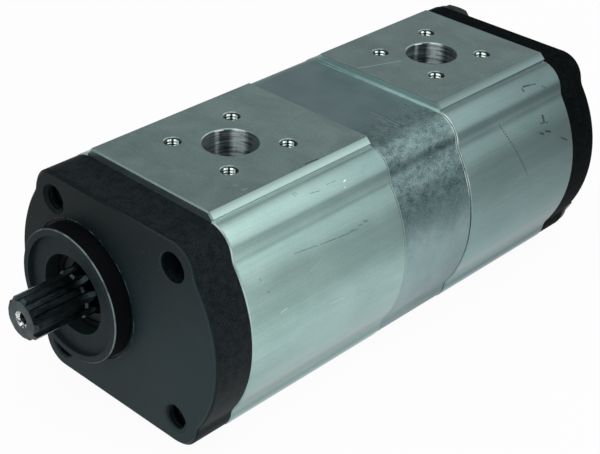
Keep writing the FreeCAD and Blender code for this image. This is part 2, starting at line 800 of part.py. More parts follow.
def runout_cutters():
    """One cutter for each gap between spline teeth, leaving the shaft on a curve."""
    count = int(at.spline_teeth.value)
    gap_root = math.pi / count - math.radians(at.spline_root_angle.value)
    gap_tip = math.pi / count - math.radians(at.spline_tip_angle.value)
    floor = spline_root_r.value
    low = Vector(floor * math.sin(gap_root), 0, floor * math.cos(gap_root))
    rim = Vector(spline_r.value * math.sin(gap_tip), 0, spline_r.value * math.cos(gap_tip))
    high = low + (rim - low) * 3
    mirror = [Vector(-point.x, 0, point.z) for point in (high, low)]
    section = Part.Face(Part.makePolygon([low, high] + mirror + [low]))
    full = at.spline_len.value
    prism = section.extrude(Vector(0, full + 1, 0))
    prism.translate(Vector(0, -1, 0))
    end = section.copy()
    end.translate(Vector(0, full, 0))
    pivot = Vector(0, full, low.z + at.runout_r.value)
    exit_curve = end.revolve(pivot, Vector(1, 0, 0), at.runout_angle.value)
    cutter = prism.fuse(exit_curve)
    cutters = []
    for index in range(count):
        turned = cutter.copy()
        angle = 360 * (index + 0.5) / count - 90
        turned.rotate(Vector(0, 0, 0), Vector(0, 1, 0), -angle)
        cutters.append(turned)
    return Part.makeCompound(cutters)


def make_shaft_blank(name, points):
    """A turned shaft from its half section, points as radius and place."""
    piece = Piece(name)
    half = piece.sketch("XY_Plane")
    draw_polygon(half, points)
    piece.turn("Revolution", "turned", half)
    return piece.body


def make_stub(name, start):
    """Inner spline that reaches into the coupling sleeve."""
    return make_prism(name, spline_outline(0), stub_len + at.end_play, start)


def make_rotor(label, length):
    """Gear and plain journals for a housing of the given length."""
    end = length - at.end_play
    profile = [(0, at.end_play), (at.journal_r, at.end_play), (at.journal_r, end), (0, end)]
    return make_shaft_blank(f"{label}_blank", profile)


def make_drive_shaft():
    """Spline, seal track, journals, front driving gear and inner stub in one piece."""
    start = -at.shaft_out - front_body_y
    step = start + shaft_step
    front = [
        (at.centre_r, start + at.centre_depth),
        (at.centre_r, start + centre_mouth_r - at.centre_r),
        (centre_mouth_r, start),
        (spline_r - at.end_bevel, start),
        (spline_r, start + at.end_bevel),
        (spline_r, step),
        (at.journal_r, step + at.journal_r - spline_r),
    ]
    end = at.front_body_len - at.end_play
    profile = [(0, start + at.centre_depth)] + front + [(at.journal_r, end), (0, end)]
    blank = make_shaft_blank("drive_shaft_blank", profile)
    gear_start = at.block_len + at.side_play
    width = at.front_body_len - gear_start * 2
    ring = make_prism("drive_shaft_teeth", gear_outline(), width, gear_start)
    stub = make_stub("drive_shaft_stub", end)
    solid = make_fuse("drive_shaft_solid", [blank, ring, stub])
    grooves = doc.addObject("Part::Feature", "drive_shaft_grooves")
    grooves.Shape = runout_cutters()
    bind(grooves, "Placement.Base.y", start)
    shaft = make_cut("drive_shaft", solid, grooves)
    place_y(shaft, front_body_y)
    return shaft


def make_driven_gear(label, length, y):
    """Driven gear and its two journals."""
    gear_start = at.block_len + at.side_play
    width = length - gear_start * 2
    blank = make_rotor(label, length)
    wire = gear_outline()
    half_pitch = 180 / teeth
    wire.rotate(Vector(0, 0, 0), Vector(0, 1, 0), half_pitch)
    ring = make_prism(f"{label}_teeth", wire, width, gear_start)
    gear = make_fuse(label, [blank, ring])
    place_y(gear, y)
    bind(gear, "Placement.Base.x", gear_centres)
    return gear


def make_rear_drive_gear():
    """Rear driving gear with the stub that the sleeve turns."""
    length = at.rear_body_len
    gear_start = at.block_len + at.side_play
    width = length - gear_start * 2
    blank = make_rotor("rear_drive_gear", length)
    ring = make_prism("rear_drive_gear_teeth", gear_outline(), width, gear_start)
    stub = make_stub("rear_drive_gear_stub", -stub_len)
    gear = make_fuse("rear_drive_gear", [blank, ring, stub])
    place_y(gear, rear_body_y)
    return gear


def make_coupling():
    """Sleeve with an inner spline, between the two shafts."""
    blank = make_rod("coupling_sleeve_blank", coupling_r, coupling_len)
    bore = make_prism("coupling_sleeve_bore", spline_outline(at.coupling_play.value), coupling_len)
    sleeve = make_cut("coupling_sleeve", blank, bore)
    place_y(sleeve, middle_y + (at.middle_len - coupling_len) / 2)
    return sleeve


def load_seal_face(grow):
    """The 3-shaped pressure seal's outline: two arcs round the journals, joined by a third."""
    half = case_x.value
    arm = load_r.value
    drop = -at.load_drop.value
    bridge_r = math.hypot(half, drop) - arm
    lean = math.atan2(drop, half)
    left_end = Vector(arm * math.cos(lean), 0, arm * math.sin(lean))
    right_end = Vector(2 * half - left_end.x, 0, left_end.z)
    low = math.pi + (lean + math.pi) / 2
    left_low = Vector(arm * math.cos(low), 0, arm * math.sin(low))
    right_low = Vector(2 * half - left_low.x, 0, left_low.z)
    left = Part.Arc(Vector(-arm, 0, 0), left_low, left_end).toShape()
    top = Vector(half, 0, drop + bridge_r)
    bridge = Part.Arc(left_end, top, right_end).toShape()
    right = Part.Arc(right_end, right_low, Vector(2 * half + arm, 0, 0)).toShape()
    path = Part.Wire([left, bridge, right])
    width = at.load_width.value / 2 + grow
    return path.makeOffset2D(width, join=0, fill=True, openResult=False)


def make_load_seal(label, y):
    made = doc.addObject("Part::Feature", f"{label}_outline")
    made.Shape = load_seal_face(0)
    seal = doc.addObject("Part::Extrusion", label)
    seal.Base = made
    seal.DirMode = "Custom"
    seal.Dir = Vector(0, 1, 0)
    seal.Solid = True
    seal.Label = label
    bind(seal, "LengthFwd", at.load_depth)
    place_y(seal, y)
    return seal


def make_block(label, y, gear_behind):
    """Bearing block: its gear side has relief pockets, the other side the pressure seal."""
    piece = Piece(f"{label}_blank")
    outline = piece.sketch()
    eight_outline(outline, chamber_r - at.block_play)
    piece.pad("block", outline, at.block_len)
    bores = piece.sketch()
    draw_circle(bores, 0, 0, bush_r)
    draw_circle(bores, gear_centres, 0, bush_r)
    piece.cut("bores", bores)
    vents = piece.sketch(shift=(0, 0, -at.block_len) if gear_behind else None)
    far = chamber_r
    for height in (1, -1):
        draw_polygon(vents, [
            (case_x - at.vent_half, at.vent_start * height),
            (case_x + at.vent_half, at.vent_start * height),
            (case_x + at.vent_half, far * height),
            (case_x - at.vent_half, far * height),
        ])
    piece.cut("relief", vents, at.vent_depth, backwards=gear_behind)
    groove = doc.addObject("Part::Feature", f"{label}_groove_outline")
    groove.Shape = load_seal_face(at.load_play.value)
    tool = doc.addObject("Part::Extrusion", f"{label}_groove")
    tool.Base = groove
    tool.DirMode = "Custom"
    tool.Dir = Vector(0, 1, 0)
    tool.Solid = True
    bind(tool, "LengthFwd", at.load_depth)
    if not gear_behind:
        bind(tool, "Placement.Base.y", at.block_len - at.load_depth)
    block = make_cut(label, piece.body, tool)
    place_y(block, y)
    return block


def make_housing_seal(label, y):
    """Round cord in an oval groove about both gear axes."""
    radius = chamber_r.value + at.ring_wall.value + at.ring_play.value + at.ring_r.value
    half = math.pi / 2
    reach = Vector(gear_centres.value, 0, 0)
    left = arc_edge(radius, half, 3 * half)
    right = arc_edge(radius, -half, half)
    right.translate(reach)
    top = Part.LineSegment(polar(radius, half), polar(radius, half) + reach).toShape()
    bottom = Part.LineSegment(polar(radius, -half), polar(radius, -half) + reach).toShape()
    path = Part.Wire(Part.__sortEdges__([left, bottom, right, top]))
    start = polar(radius, half) + reach / 2
    section = Part.Wire(Part.Circle(start, Vector(1, 0, 0), at.ring_r.value).toShape())
    seal = doc.addObject("Part::Feature", label)
    seal.Shape = path.makePipeShell([section], True, True)
    seal.Label = label
    place_y(seal, y)
    return seal


def make_shaft_seal():
    """Cased rubber seal, its lip round the shaft."""
    piece = Piece("shaft_seal")
    half = piece.sketch("XY_Plane")
    lip = at.journal_r + at.lip_play
    thick = at.seal_thick
    wall = seal_r - at.journal_r
    draw_polygon(half, [
        (seal_r, 0),
        (seal_r, thick),
        (seal_r - wall / 6, thick),
        (seal_r - wall / 6, thick / 3),
        (lip + wall / 3, thick / 3),
        (lip + wall / 4, thick * 0.85),
        (lip, thick * 0.6),
        (lip + wall / 6, thick / 4),
        (lip + wall / 6, 0),
    ])
    piece.turn("Revolution", "turned", half)
    place_y(piece.body, at.seal_start)
    return piece


def make_clip():
    """Retaining ring, open at the top between two ears with tool holes."""
    outer = seal_r + at.clip_bite
    inner = seal_r - at.clip_width
    ring = make_ring("seal_clip_ring", outer, inner, at.clip_thick)
    gap = math.radians(at.clip_gap.value)
    reach = outer.value * 1.5
    wedge = doc.addObject("Part::Feature", "seal_clip_gap")
    left = Vector(-reach * math.sin(gap), 0, reach * math.cos(gap))
    right = Vector(reach * math.sin(gap), 0, reach * math.cos(gap))
    corner = Part.makePolygon([Vector(0, 0, 0), left, right, Vector(0, 0, 0)])
    wedge.Shape = Part.Face(corner).extrude(Vector(0, at.clip_thick.value, 0))
    pieces = [make_cut("seal_clip_open", ring, wedge)]
    holes = []
    away = inner - at.clip_ear_r / 4
    for side in (1, -1):
        x = Size.of(side * away.value * math.sin(gap))
        z = Size.of(away.value * math.cos(gap))
        name = "right" if side == 1 else "left"
        pieces.append(make_rod(f"seal_clip_{name}_ear", at.clip_ear_r, at.clip_thick, x, 0, z))
        holes.append(make_rod(f"seal_clip_{name}_eye", at.clip_eye_r, at.clip_thick, x, 0, z))
    blank = make_fuse("seal_clip_blank", pieces)
    eyes = make_fuse("seal_clip_eyes", holes)
    clip = make_cut("seal_clip", blank, eyes)
    place_y(clip, at.seal_start - at.clip_thick)
    return clip


def make_tie_bolts():
    """Two long bolts from the rear, screwed into the front cover."""
    bolts = []
    seat = case_end_y - at.seat_depth + at.washer_thick
    root_3 = Size(math.sqrt(3), "sqrt(3)")
    top_r = at.head_flats / 2 * at.head_top
    for side, height, x, z in bolt_places():
        if not is_tie(side, height):
            continue
        name = "tie_bolt_right" if side == 1 else "tie_bolt_left"
        shank = make_rod(f"{name}_shank", at.tie_r, seat - at.tie_recess, x, at.tie_recess, z)
        head = doc.addObject("Part::Prism", f"{name}_hex")
        along_y(head)
        head.Polygon = 6
        bind(head, "Circumradius", at.head_flats / root_3)
        bind(head, "Height", at.head_height)
        dome = doc.addObject("Part::Cone", f"{name}_dome")
        along_y(dome)
        bind(dome, "Radius1", top_r + at.head_height * root_3)
        bind(dome, "Radius2", top_r)
        bind(dome, "Height", at.head_height)
        common = doc.addObject("Part::MultiCommon", f"{name}_head")
        common.Shapes = [head, dome]
        for solid in (head, dome):
            for axis, size in zip("xyz", (x, seat, z)):
                bind(solid, f"Placement.Base.{axis}", size)
        bolts.append(make_fuse(name, [shank, common]))
    return make_group("tie_bolts", bolts)


def make_group(label, members):
    """Identical fasteners as separate solids under one name."""
    group = doc.addObject("Part::Compound", label)
    group.Links = members
    group.Label = label
    return group


def make_washers():
    rings = []
    y = case_end_y - at.seat_depth
    for side, height, x, z in bolt_places():
        if is_tie(side, height):
            name = f"washer_{'right' if side == 1 else 'left'}"
            bore = at.tie_r + at.washer_play
            rings.append(make_ring(name, at.washer_r, bore, at.washer_thick, x, y, z))
    return make_group("tie_bolt_washers", rings)


def make_dowels():
    """Two pins across each joint of the case."""
    pins = []
    joints = (front_body_y, middle_y, rear_body_y, rear_cover_y)
    for number, joint in enumerate(joints, start=1):
        for height in (1, -1):
            name = f"dowel_{number}_{'top' if height == 1 else 'bottom'}"
            place = (case_x, joint - at.dowel_half, dowel_z * height)
            pins.append(make_rod(name, at.dowel_r, at.dowel_half * 2, *place))
    return make_group("dowel_pins", pins)


def make_stage(name, start, length, parts):
    """The two blocks, four bushes and four seals of one gear stage."""
    ends = (
        ("front", start, True),
        ("rear", start + length - at.block_len, False),
    )
    for end, y, gear_behind in ends:
        parts.append(make_block(f"{name}_{end}_block", y, gear_behind))
        bush_y = y if gear_behind else y + at.bush_short
        for gear, x in (("drive", Size.of(0)), ("driven", gear_centres)):
            label = f"{name}_{end}_{gear}_bush"
            bore = at.journal_r + at.journal_play
            long = at.block_len - at.bush_short
            bush = make_ring(label, bush_r, bore, long, x, bush_y, 0)
            parts.append(bush)
        seal_y = y if gear_behind else y + at.block_len - at.load_depth
        parts.append(make_load_seal(f"{name}_{end}_pressure_seal", seal_y))
        ring_y = start + at.ring_r if gear_behind else start + length - at.ring_r
        parts.append(make_housing_seal(f"{name}_{end}_housing_seal", ring_y))


front_housing = make_housing("front_body", at.front_body_len)
place_y(front_housing.body, front_body_y)
rear_housing = make_housing("rear_body", at.rear_body_len)
place_y(rear_housing.body, rear_body_y)

parts = [
    make_front_cover().body,
    front_housing.body,
    make_middle().body,
    rear_housing.body,
    make_rear_cover().body,
    make_drive_shaft(),
    make_driven_gear("front_driven_gear", at.front_body_len, front_body_y),
    make_coupling(),
    make_rear_drive_gear(),
    make_driven_gear("rear_driven_gear", at.rear_body_len, rear_body_y),
    make_shaft_seal().body,
    make_clip(),
    make_tie_bolts(),
    make_washers(),
    make_dowels(),
]
make_stage("front_stage", front_body_y, at.front_body_len, parts)
make_stage("rear_stage", rear_body_y, at.rear_body_len, parts)
doc.recompute()

# Nothing is written unless every object is sound
for item in doc.Objects:
    if "Invalid" in item.State or "Error" in item.State:
        raise ValueError(f"{item.Label} is {item.State}")
for part in parts:
    if part.Shape.isNull() or not part.Shape.isValid():
        raise ValueError(f"{part.Label} has no sound shape")

os.makedirs("parts", exist_ok=True)
for part in parts:
    part.Shape.exportStep(f"parts/{part.Label}.step")
    box = part.Shape.BoundBox
    print(
        f"{part.Label}: {len(part.Shape.Solids)} solid, {part.Shape.Volume / 1000:.2f} cm3,"
        f" x {box.XMin:.1f} to {box.XMax:.1f}, y {box.YMin:.1f} to {box.YMax:.1f},"
        f" z {box.ZMin:.1f} to {box.ZMax:.1f}"
    )
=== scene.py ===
# %% [markdown]
# # Tandem gear pump
#
# Two gear pump stages share one shaft and one row of aluminium housings between two black
# iron covers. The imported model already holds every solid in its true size, so this lesson
# dresses those solids with finishes, adds the screw threads that the solids leave out, and
# sets up a small studio. Lengths are in metres, as Blender counts them, and the names ending
# in _mm or _MM are in millimetres, as a pump's drawing counts them.

# %% Load the pump
import json
import math

import bpy
from mathutils import Matrix, Vector


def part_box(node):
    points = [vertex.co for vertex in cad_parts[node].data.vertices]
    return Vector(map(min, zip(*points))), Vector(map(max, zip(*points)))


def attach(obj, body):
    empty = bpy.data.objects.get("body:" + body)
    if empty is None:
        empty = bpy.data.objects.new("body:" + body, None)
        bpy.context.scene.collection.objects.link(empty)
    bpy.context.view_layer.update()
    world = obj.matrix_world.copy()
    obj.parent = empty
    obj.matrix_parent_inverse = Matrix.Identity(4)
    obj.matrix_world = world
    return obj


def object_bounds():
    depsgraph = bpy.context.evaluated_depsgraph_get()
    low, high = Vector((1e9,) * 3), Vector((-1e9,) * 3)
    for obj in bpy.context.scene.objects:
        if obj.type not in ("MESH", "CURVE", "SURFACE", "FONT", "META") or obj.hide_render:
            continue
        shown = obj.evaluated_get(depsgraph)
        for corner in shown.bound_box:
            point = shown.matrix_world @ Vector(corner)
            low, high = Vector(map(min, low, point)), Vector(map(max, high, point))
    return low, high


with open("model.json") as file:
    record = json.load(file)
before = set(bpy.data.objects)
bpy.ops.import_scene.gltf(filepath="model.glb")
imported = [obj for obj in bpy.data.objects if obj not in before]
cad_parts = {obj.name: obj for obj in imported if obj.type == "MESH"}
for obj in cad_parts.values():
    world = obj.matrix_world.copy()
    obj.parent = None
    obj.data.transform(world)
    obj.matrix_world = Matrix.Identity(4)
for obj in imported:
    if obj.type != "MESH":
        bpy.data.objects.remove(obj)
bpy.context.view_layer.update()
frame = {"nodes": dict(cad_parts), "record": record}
MM = 0.001
nodes = frame["nodes"]


# %% [markdown]
# That way a thread stays in its hole if a housing is ever made longer. A few more are named
# one by one: how far the bolts stand from the middle, the roundness of the four corners, the
# width of the port pads, and the circles on which the port screws stand.

# %% The pump's own measures
def span(node, axis):
    """Lowest and highest value of a node along one axis, in millimetres."""
    low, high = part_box(node)
    return low[axis] / MM, high[axis] / MM


def middle(node, axis):
    low, high = span(node, axis)
    return (low + high) / 2


BOLT_REACH_MM = 30.0
LOBE_MM = 10.7
PAD_HALF_MM = 29.3
PORT_CIRCLE_MM = {"suction": 40.0, "pressure": 35.0}
case_x_mm = middle("front_body", 0)
pad_top_mm = span("front_body", 2)[1]
flat_top_mm = span("middle_housing", 2)[1]
barrel_mm = span("front_body", 0)[1] - case_x_mm
shaft_tip_mm = span("drive_shaft", 1)[0]
boss_top_mm = span("front_cover", 1)[0]
port_y_mm = {"front": middle("front_body", 1), "rear": middle("rear_body", 1)}
print("case centre", case_x_mm, "pad top", pad_top_mm, "ports at", port_y_mm)


def on_side(y, z):
    """The point of the case's right side at a place along the pump and a height."""
    if abs(z) < BOLT_REACH_MM:
        return case_x_mm + math.sqrt(barrel_mm ** 2 - z ** 2), y, z
    return case_x_mm + BOLT_REACH_MM + math.sqrt(LOBE_MM ** 2 - (z - BOLT_REACH_MM) ** 2), y, z


def screw_arm_mm(port):
    """How far a port's four screws stand from its centre, along the pump and across it."""
    return PORT_CIRCLE_MM[port] / 2 * math.sqrt(0.5)


# %% [markdown]
# The photograph is taken from the shaft end, to the right and above, with a long lens. A camera
# could be placed by eye, but here its place was worked out from the corners of the case, so
# it is written as a point to stand at, a point to look at, and a small roll of the horizon.

# %% Camera
CAMERA_AT_MM = Vector((336.60, -252.71, 278.29))
LOOK_AT_MM = Vector((16.91, 90.0, -5.17))
ROLL_DEGREES = 1.74
FOCAL_PIXELS = 1448.7
IMAGE_PIXELS = 600
SENSOR_MM = 36
NEAREST_MM = 10

ahead = (LOOK_AT_MM - CAMERA_AT_MM).normalized()
right = ahead.cross(Vector((0, 0, 1))).normalized()
up = right.cross(ahead)
roll = math.radians(ROLL_DEGREES)
camera_right = right * math.cos(roll) + up * math.sin(roll)
camera_up = up * math.cos(roll) - right * math.sin(roll)
turn = Matrix((camera_right, camera_up, -ahead)).transposed()

bpy.ops.object.camera_add()
camera = bpy.context.object
camera.name = "camera"
camera.matrix_world = Matrix.Translation(CAMERA_AT_MM * MM) @ turn.to_4x4()
camera.data.sensor_width = SENSOR_MM
camera.data.lens = FOCAL_PIXELS / IMAGE_PIXELS * SENSOR_MM
camera.data.clip_start = NEAREST_MM * MM
bpy.context.scene.camera = camera
bpy.context.scene.view_settings.view_transform = "Standard"
print("lens", round(camera.data.lens, 1), "mm")


# %% [markdown]
# A finish is a recipe of shader nodes. Wiring them by hand takes a line for every plus and
# minus, so a small class stands for one socket and turns ordinary arithmetic into Math nodes.
# Writing 1 - mask then makes the node that subtracts.

# %% Sockets that do arithmetic
class Field:
    """A value that varies over a surface."""

    def __init__(self, tree, socket):
        self.tree = tree
        self.socket = socket

    def math(self, operation, *others):
        return self.tree.node("ShaderNodeMath", {"operation": operation}, (self, *others))

    def __add__(self, other):
        return self.math("ADD", other)

    __radd__ = __add__

    def __mul__(self, other):
        return self.math("MULTIPLY", other)

    __rmul__ = __mul__

    def __sub__(self, other):
        return self.math("SUBTRACT", other)

    def __rsub__(self, other):
        return self.tree.node("ShaderNodeMath", {"operation": "SUBTRACT"}, (other, self))

    def __abs__(self):
        return self.math("ABSOLUTE")

    def top(self, other):
        """The larger of two values."""
        return self.math("MAXIMUM", other)

    def clamp(self):
        """Kept between 0 and 1."""
        return self.tree.node("ShaderNodeMath", {"operation": "ADD", "use_clamp": True}, (self, 0.0))

    def raised(self, least):
        """The same value, but never less than the least share: 0 becomes least, 1 stays 1."""
        return self * (1 - least) + least


# %% [markdown]
# One method makes any node: it takes the node's type, its settings, and what goes into its
# sockets, by number or by name. Materials, the floor and the room all use it, and the helpers
# below it only give the most used nodes a shorter name.

# %% Any node in one method
class Tree:
    """The nodes of a material or of the world."""

    def __init__(self, owner):
        owner.use_nodes = True
        self.tree = owner.node_tree

    def node(self, kind, settings=None, sockets=(), output=0):
        """Any node: its type, its settings, then the values or fields of its sockets."""
        made = self.tree.nodes.new(kind)
        for setting, value in (settings or {}).items():
            setattr(made, setting, value)
        if not isinstance(sockets, dict):
            sockets = dict(enumerate(sockets))
        for socket, value in sockets.items():
            if isinstance(value, Field):
                self.tree.links.new(value.socket, made.inputs[socket])
            else:
                made.inputs[socket].default_value = value
        return Field(self, made.outputs[output])

    def plug(self, field, node_name, socket):
        """Link a field into a node that the tree has from the start."""
        self.tree.links.new(field.socket, self.tree.nodes[node_name].inputs[socket])

    def vector(self, operation, *sockets, output=0):
        return self.node("ShaderNodeVectorMath", {"operation": operation}, sockets, output)

    def scale(self, vector, factor):
        return self.node(
            "ShaderNodeVectorMath", {"operation": "SCALE"}, {"Vector": vector, "Scale": factor}
        )

    def times(self, colour, shade):
        """A colour made darker, lighter or cooler by a share of its red, green and blue."""
        return self.vector("MULTIPLY", colour, shade)

    def axis(self, vector, name):
        """One coordinate of a vector: X, Y or Z."""
        return self.node("ShaderNodeSeparateXYZ", None, (vector,), name)

    def between(self, value, low, high):
        """0 below low, 1 above high and a smooth rise in between."""
        return self.node(
            "ShaderNodeMapRange",
            {"interpolation_type": "SMOOTHSTEP"},
            {"Value": value, "From Min": low, "From Max": high},
        )

    def contrast(self, noise, reach):
        """A noise drawn out, so that it is 0 or 1 where it is further from a half than its reach."""
        return self.between(noise, 0.5 - reach, 0.5 + reach)

    def mix(self, factor, one, two):
        """Colour one where the factor is 0, two where it is 1, each a field or red, green, blue."""
        one, two = ((*colour, 1) if isinstance(colour, tuple) else colour for colour in (one, two))
        return self.node("ShaderNodeMix", {"data_type": "RGBA"}, {0: factor, 6: one, 7: two}, 2)


# %% [markdown]
# A finish is a tree on the Principled shader. Its patterns read Object coordinates in
# millimetres, so a grain of 0.5 really is half a millimetre, and because every solid keeps its
# place in its mesh, a mark stays on the metal when the camera moves. Some masks belong to the
# pump itself, such as its screw holes and the long hollows beside its corners.

# %% Finishes
ACROSS = (0.731, 0.682)
HOLE_MM = (3.6, 3.7)
HOLLOW_MM = 32.8
HOLLOW_OUT_MM = (36.0, 37.0)
MARK_CORE = 0.3


class Finish(Tree):
    """A material on the Principled shader, built from fields."""

    def __init__(self, name, **fixed):
        self.material = bpy.data.materials.new(name)
        super().__init__(self.material)
        shader = self.tree.nodes["Principled BSDF"]
        for socket, value in fixed.items():
            shader.inputs[socket.replace("_", " ")].default_value = value
        self.place = self.scale(self.node("ShaderNodeTexCoord", output="Object"), 1 / MM)
        self.x, self.y, self.z = (self.axis(self.place, name) for name in "XYZ")

    def noise(self, size_mm, stretch=(1, 1, 1), detail=3.0, distortion=0.0):
        """Soft random patches about so many millimetres across, longer along a stretched axis."""
        squeezed = tuple(1 / (size_mm * along) for along in stretch)
        where = self.vector("MULTIPLY", self.place, squeezed)
        return self.node(
            "ShaderNodeTexNoise",
            sockets={"Vector": where, "Scale": 1.0, "Detail": detail, "Distortion": distortion},
        )

    def around(self, x, y=None, z=None):
        """Distance from a line along the axis that is left out."""
        spot = tuple(0.0 if value is None else value for value in (x, y, z))
        keep = tuple(0.0 if value is None else 1.0 for value in (x, y, z))
        offset = self.vector("SUBTRACT", self.place, spot)
        return self.vector("LENGTH", self.vector("MULTIPLY", offset, keep), output="Value")

    def across(self, port_mm):
        """Distance from a port's axis along a level line at about 45 degrees to the pump."""
        return (self.x - case_x_mm) * ACROSS[0] + (self.y - port_mm) * ACROSS[1]

    def strip(self, value, centre, half, soft=0.5):
        """1 within a distance of a centre value, fading out over a share of that distance."""
        return 1 - self.between(abs(value - centre), half * (1 - soft), half)

    def screw_holes(self, port_mm):
        """1 inside the eight screw holes of one port pair, 0 outside them."""
        inside = None
        for port in PORT_CIRCLE_MM:
            across = abs(self.x - case_x_mm) - screw_arm_mm(port)
            along = abs(self.y - port_mm) - screw_arm_mm(port)
            away = self.vector(
                "LENGTH", self.node("ShaderNodeCombineXYZ", None, (across, along)), output="Value"
            )
            one = 1 - self.between(away, *HOLE_MM)
            inside = one if inside is None else inside.top(one)
        return inside

    def hollow(self, half_mm):
        """1 in the long hollows between the barrel and the corners, 0 elsewhere."""
        far_out = self.between(abs(self.x - case_x_mm), *HOLLOW_OUT_MM)
        return self.strip(abs(self.z), HOLLOW_MM, half_mm, 0.9) * far_out

    def near_line(self, start, end, width):
        """1 on a straight mark between two points given in millimetres, 0 away from it."""
        start, end = Vector(start), Vector(end)
        along = end - start
        offset = self.vector("SUBTRACT", self.place, tuple(start))
        per_length = tuple(along / along.length_squared)
        reach = self.vector("DOT_PRODUCT", offset, per_length, output="Value")
        foot = self.scale(tuple(along), reach.clamp())
        away = self.vector("LENGTH", self.vector("SUBTRACT", offset, foot), output="Value")
        return 1 - self.between(away, width * MARK_CORE, width)

    def marks(self, lines):
        """Several marks as one mask, each a start, an end, a half width and a strength."""
        mask = None
        for start, end, width, strength in lines:
            mark = self.near_line(start, end, width) * strength
            mask = mark if mask is None else mask.top(mark)
        return mask

    def bump(self, height, depth_mm, strength=1.0):
        """Relief of the given depth."""
        return self.node(
            "ShaderNodeBump",
            sockets={"Height": height, "Strength": strength, "Distance": depth_mm * MM},
        )

    def feed(self, **sockets):
        for name, field in sockets.items():
            self.plug(field, "Principled BSDF", name.replace("_", " "))
        return self


print("fields and finishes are ready")


# %% [markdown]
# The gear housings are lengths of extruded aluminium. Their sides keep the fine lines of the
# extrusion die, which run the length of the pump, while the port pads are milled flat and the
# ports are bored, which leaves rings in them. One finish does all three, because the place on
# the housing says which tool cut it. So a housing's finish starts with a mask for each zone and
# with the patterns that the tools leave. A picture could be laid on instead, but it would blur
# when seen close by.

# %% Zones and patterns of a gear housing
PAD_BAND_MM = 0.3
FLANK_MM = 3.1
FLANK_SOFT_MM = 0.2
FLANK_ENDS_MM = (32.3, 32.9)
MOUTH_MM = (10.7, 10.8)
CHAMFER_MM = (0.72, 0.64)
HOUSING_HOLLOW_MM = 2.6
BACK_SHADE_REACH_MM = 25.0


class GearHousing(Finish):
    """The finish of one gear housing, with a mask for each zone and each tool's pattern."""

    def __init__(self, name, stage):
        super().__init__(name)
        self.front_mm, self.back_mm = span(f"{stage}_body", 1)
        self.port_mm = port_y_mm[stage]
        self.height = abs(self.z)
        self.out = abs(self.x - case_x_mm)
        self.mask_zones()
        self.lay_patterns()

    def mask_zones(self):
        """1 in a zone, 0 outside it. The mouth is a port's whole opening, the bore lies deeper."""
        band_mm = pad_top_mm - PAD_BAND_MM
        self.pad = self.between(self.height, band_mm, band_mm + PAD_BAND_MM / 2)
        foot_mm = pad_top_mm - FLANK_MM
        flank = self.between(self.height, foot_mm - FLANK_SOFT_MM, foot_mm)
        self.flank = flank * (1 - self.between(self.out, *FLANK_ENDS_MM))
        from_port = self.around(case_x_mm, self.port_mm)
        self.mouth = (1 - self.between(from_port, *MOUTH_MM)) * (1 - self.pad)
        chamfer = self.between(self.height, *(pad_top_mm - depth for depth in CHAMFER_MM))
        self.bore = self.mouth * (1 - chamfer)
        self.hole = self.screw_holes(self.port_mm) * (1 - self.pad)
        # The long hollows and the rear end are masks for painted shade.
        self.hollow_painted_shade = self.hollow(HOUSING_HOLLOW_MM)
        back_shade_from, back_shade_to = self.front_mm - BACK_SHADE_REACH_MM, self.back_mm + BACK_SHADE_REACH_MM
        self.towards_back = self.between(self.y, back_shade_from, back_shade_to)

    def lay_patterns(self):
        """Noises stretched along the way that each tool went, and plain ones for wear."""
        self.die_lines = self.noise(0.5, (1, 120, 1), detail=4)
        self.die_bands = self.noise(4, (1, 50, 1), detail=3)
        self.mill_lines = self.noise(0.3, (30, 1, 1), detail=2)
        self.rings = self.noise(0.42, (22, 22, 1), detail=4)
        self.streaks = self.noise(2.2, (1, 1, 4), detail=4)
        self.cloud = self.noise(14, (1, 1.6, 1), detail=6, distortion=0.3)
        self.worn = self.noise(11, detail=6, distortion=0.6)
        self.grain = self.noise(0.6, detail=3)


# %% [markdown]
# Bare metal is never one grey. The drawn sides carry painted light and painted shade that change
# with height, painted shade in the hollows and towards the rear end, and two broad bands of
# painted shade that run along them. The milled pads are worn in patches, with painted shade
# along their rounded edges and at their near end. The shades that differ between the two
# housings come in from outside, so that one function serves both.

# %% Drawn sides and milled pads
SHADOW = (0.02, 0.03, 0.03)
DRAWN_METAL = ((0.305, 0.430, 0.402), (0.435, 0.580, 0.543))
MILLED_METAL = ((0.245, 0.352, 0.338), (0.355, 0.485, 0.465))
# Heights and bands of painted shade on the sides; each band is a height, a half width and a darkness.
SHADED_HEIGHTS_MM = (-26.0, 14.0)
BACK_SHADE_HEIGHTS_MM = (-12.0, 18.0)
PAINTED_SHADE_BANDS = ((13.0, 10.0, 0.17), (-26.5, 6.5, 0.34))
NEAR_END_MM = 62.0
PAD_EDGE_MM = 0.2
PAD_EDGE_SHADOW = 0.60


def drawn_sides(metal, shades):
    lines = metal.die_lines * 0.22 + metal.die_bands * 0.16
    tone = metal.contrast(lines + metal.cloud * 0.40 + metal.grain * 0.22, 0.18)
    colour = metal.mix(tone, *DRAWN_METAL)
    # Painted light and shade by height, then painted shade in the hollows, towards the rear end and
    # in two bands.
    going_up = metal.between(metal.z, *SHADED_HEIGHTS_MM)
    colour = metal.times(colour, metal.mix(going_up, shades["below"], shades["above"]))
    colour = metal.mix(metal.hollow_painted_shade, colour, metal.times(colour, shades["hollow_painted_shade"]))
    back_going_up = metal.between(metal.z, *BACK_SHADE_HEIGHTS_MM)
    back_shade = metal.mix(back_going_up, shades["back_low"], shades["back_high"])
    colour = metal.mix(metal.towards_back, colour, metal.times(colour, back_shade))
    upper, lower = (
        metal.strip(metal.z, height, half, 0.9) * darkness for height, half, darkness in PAINTED_SHADE_BANDS
    )
    return metal.mix(upper + lower, colour, SHADOW)


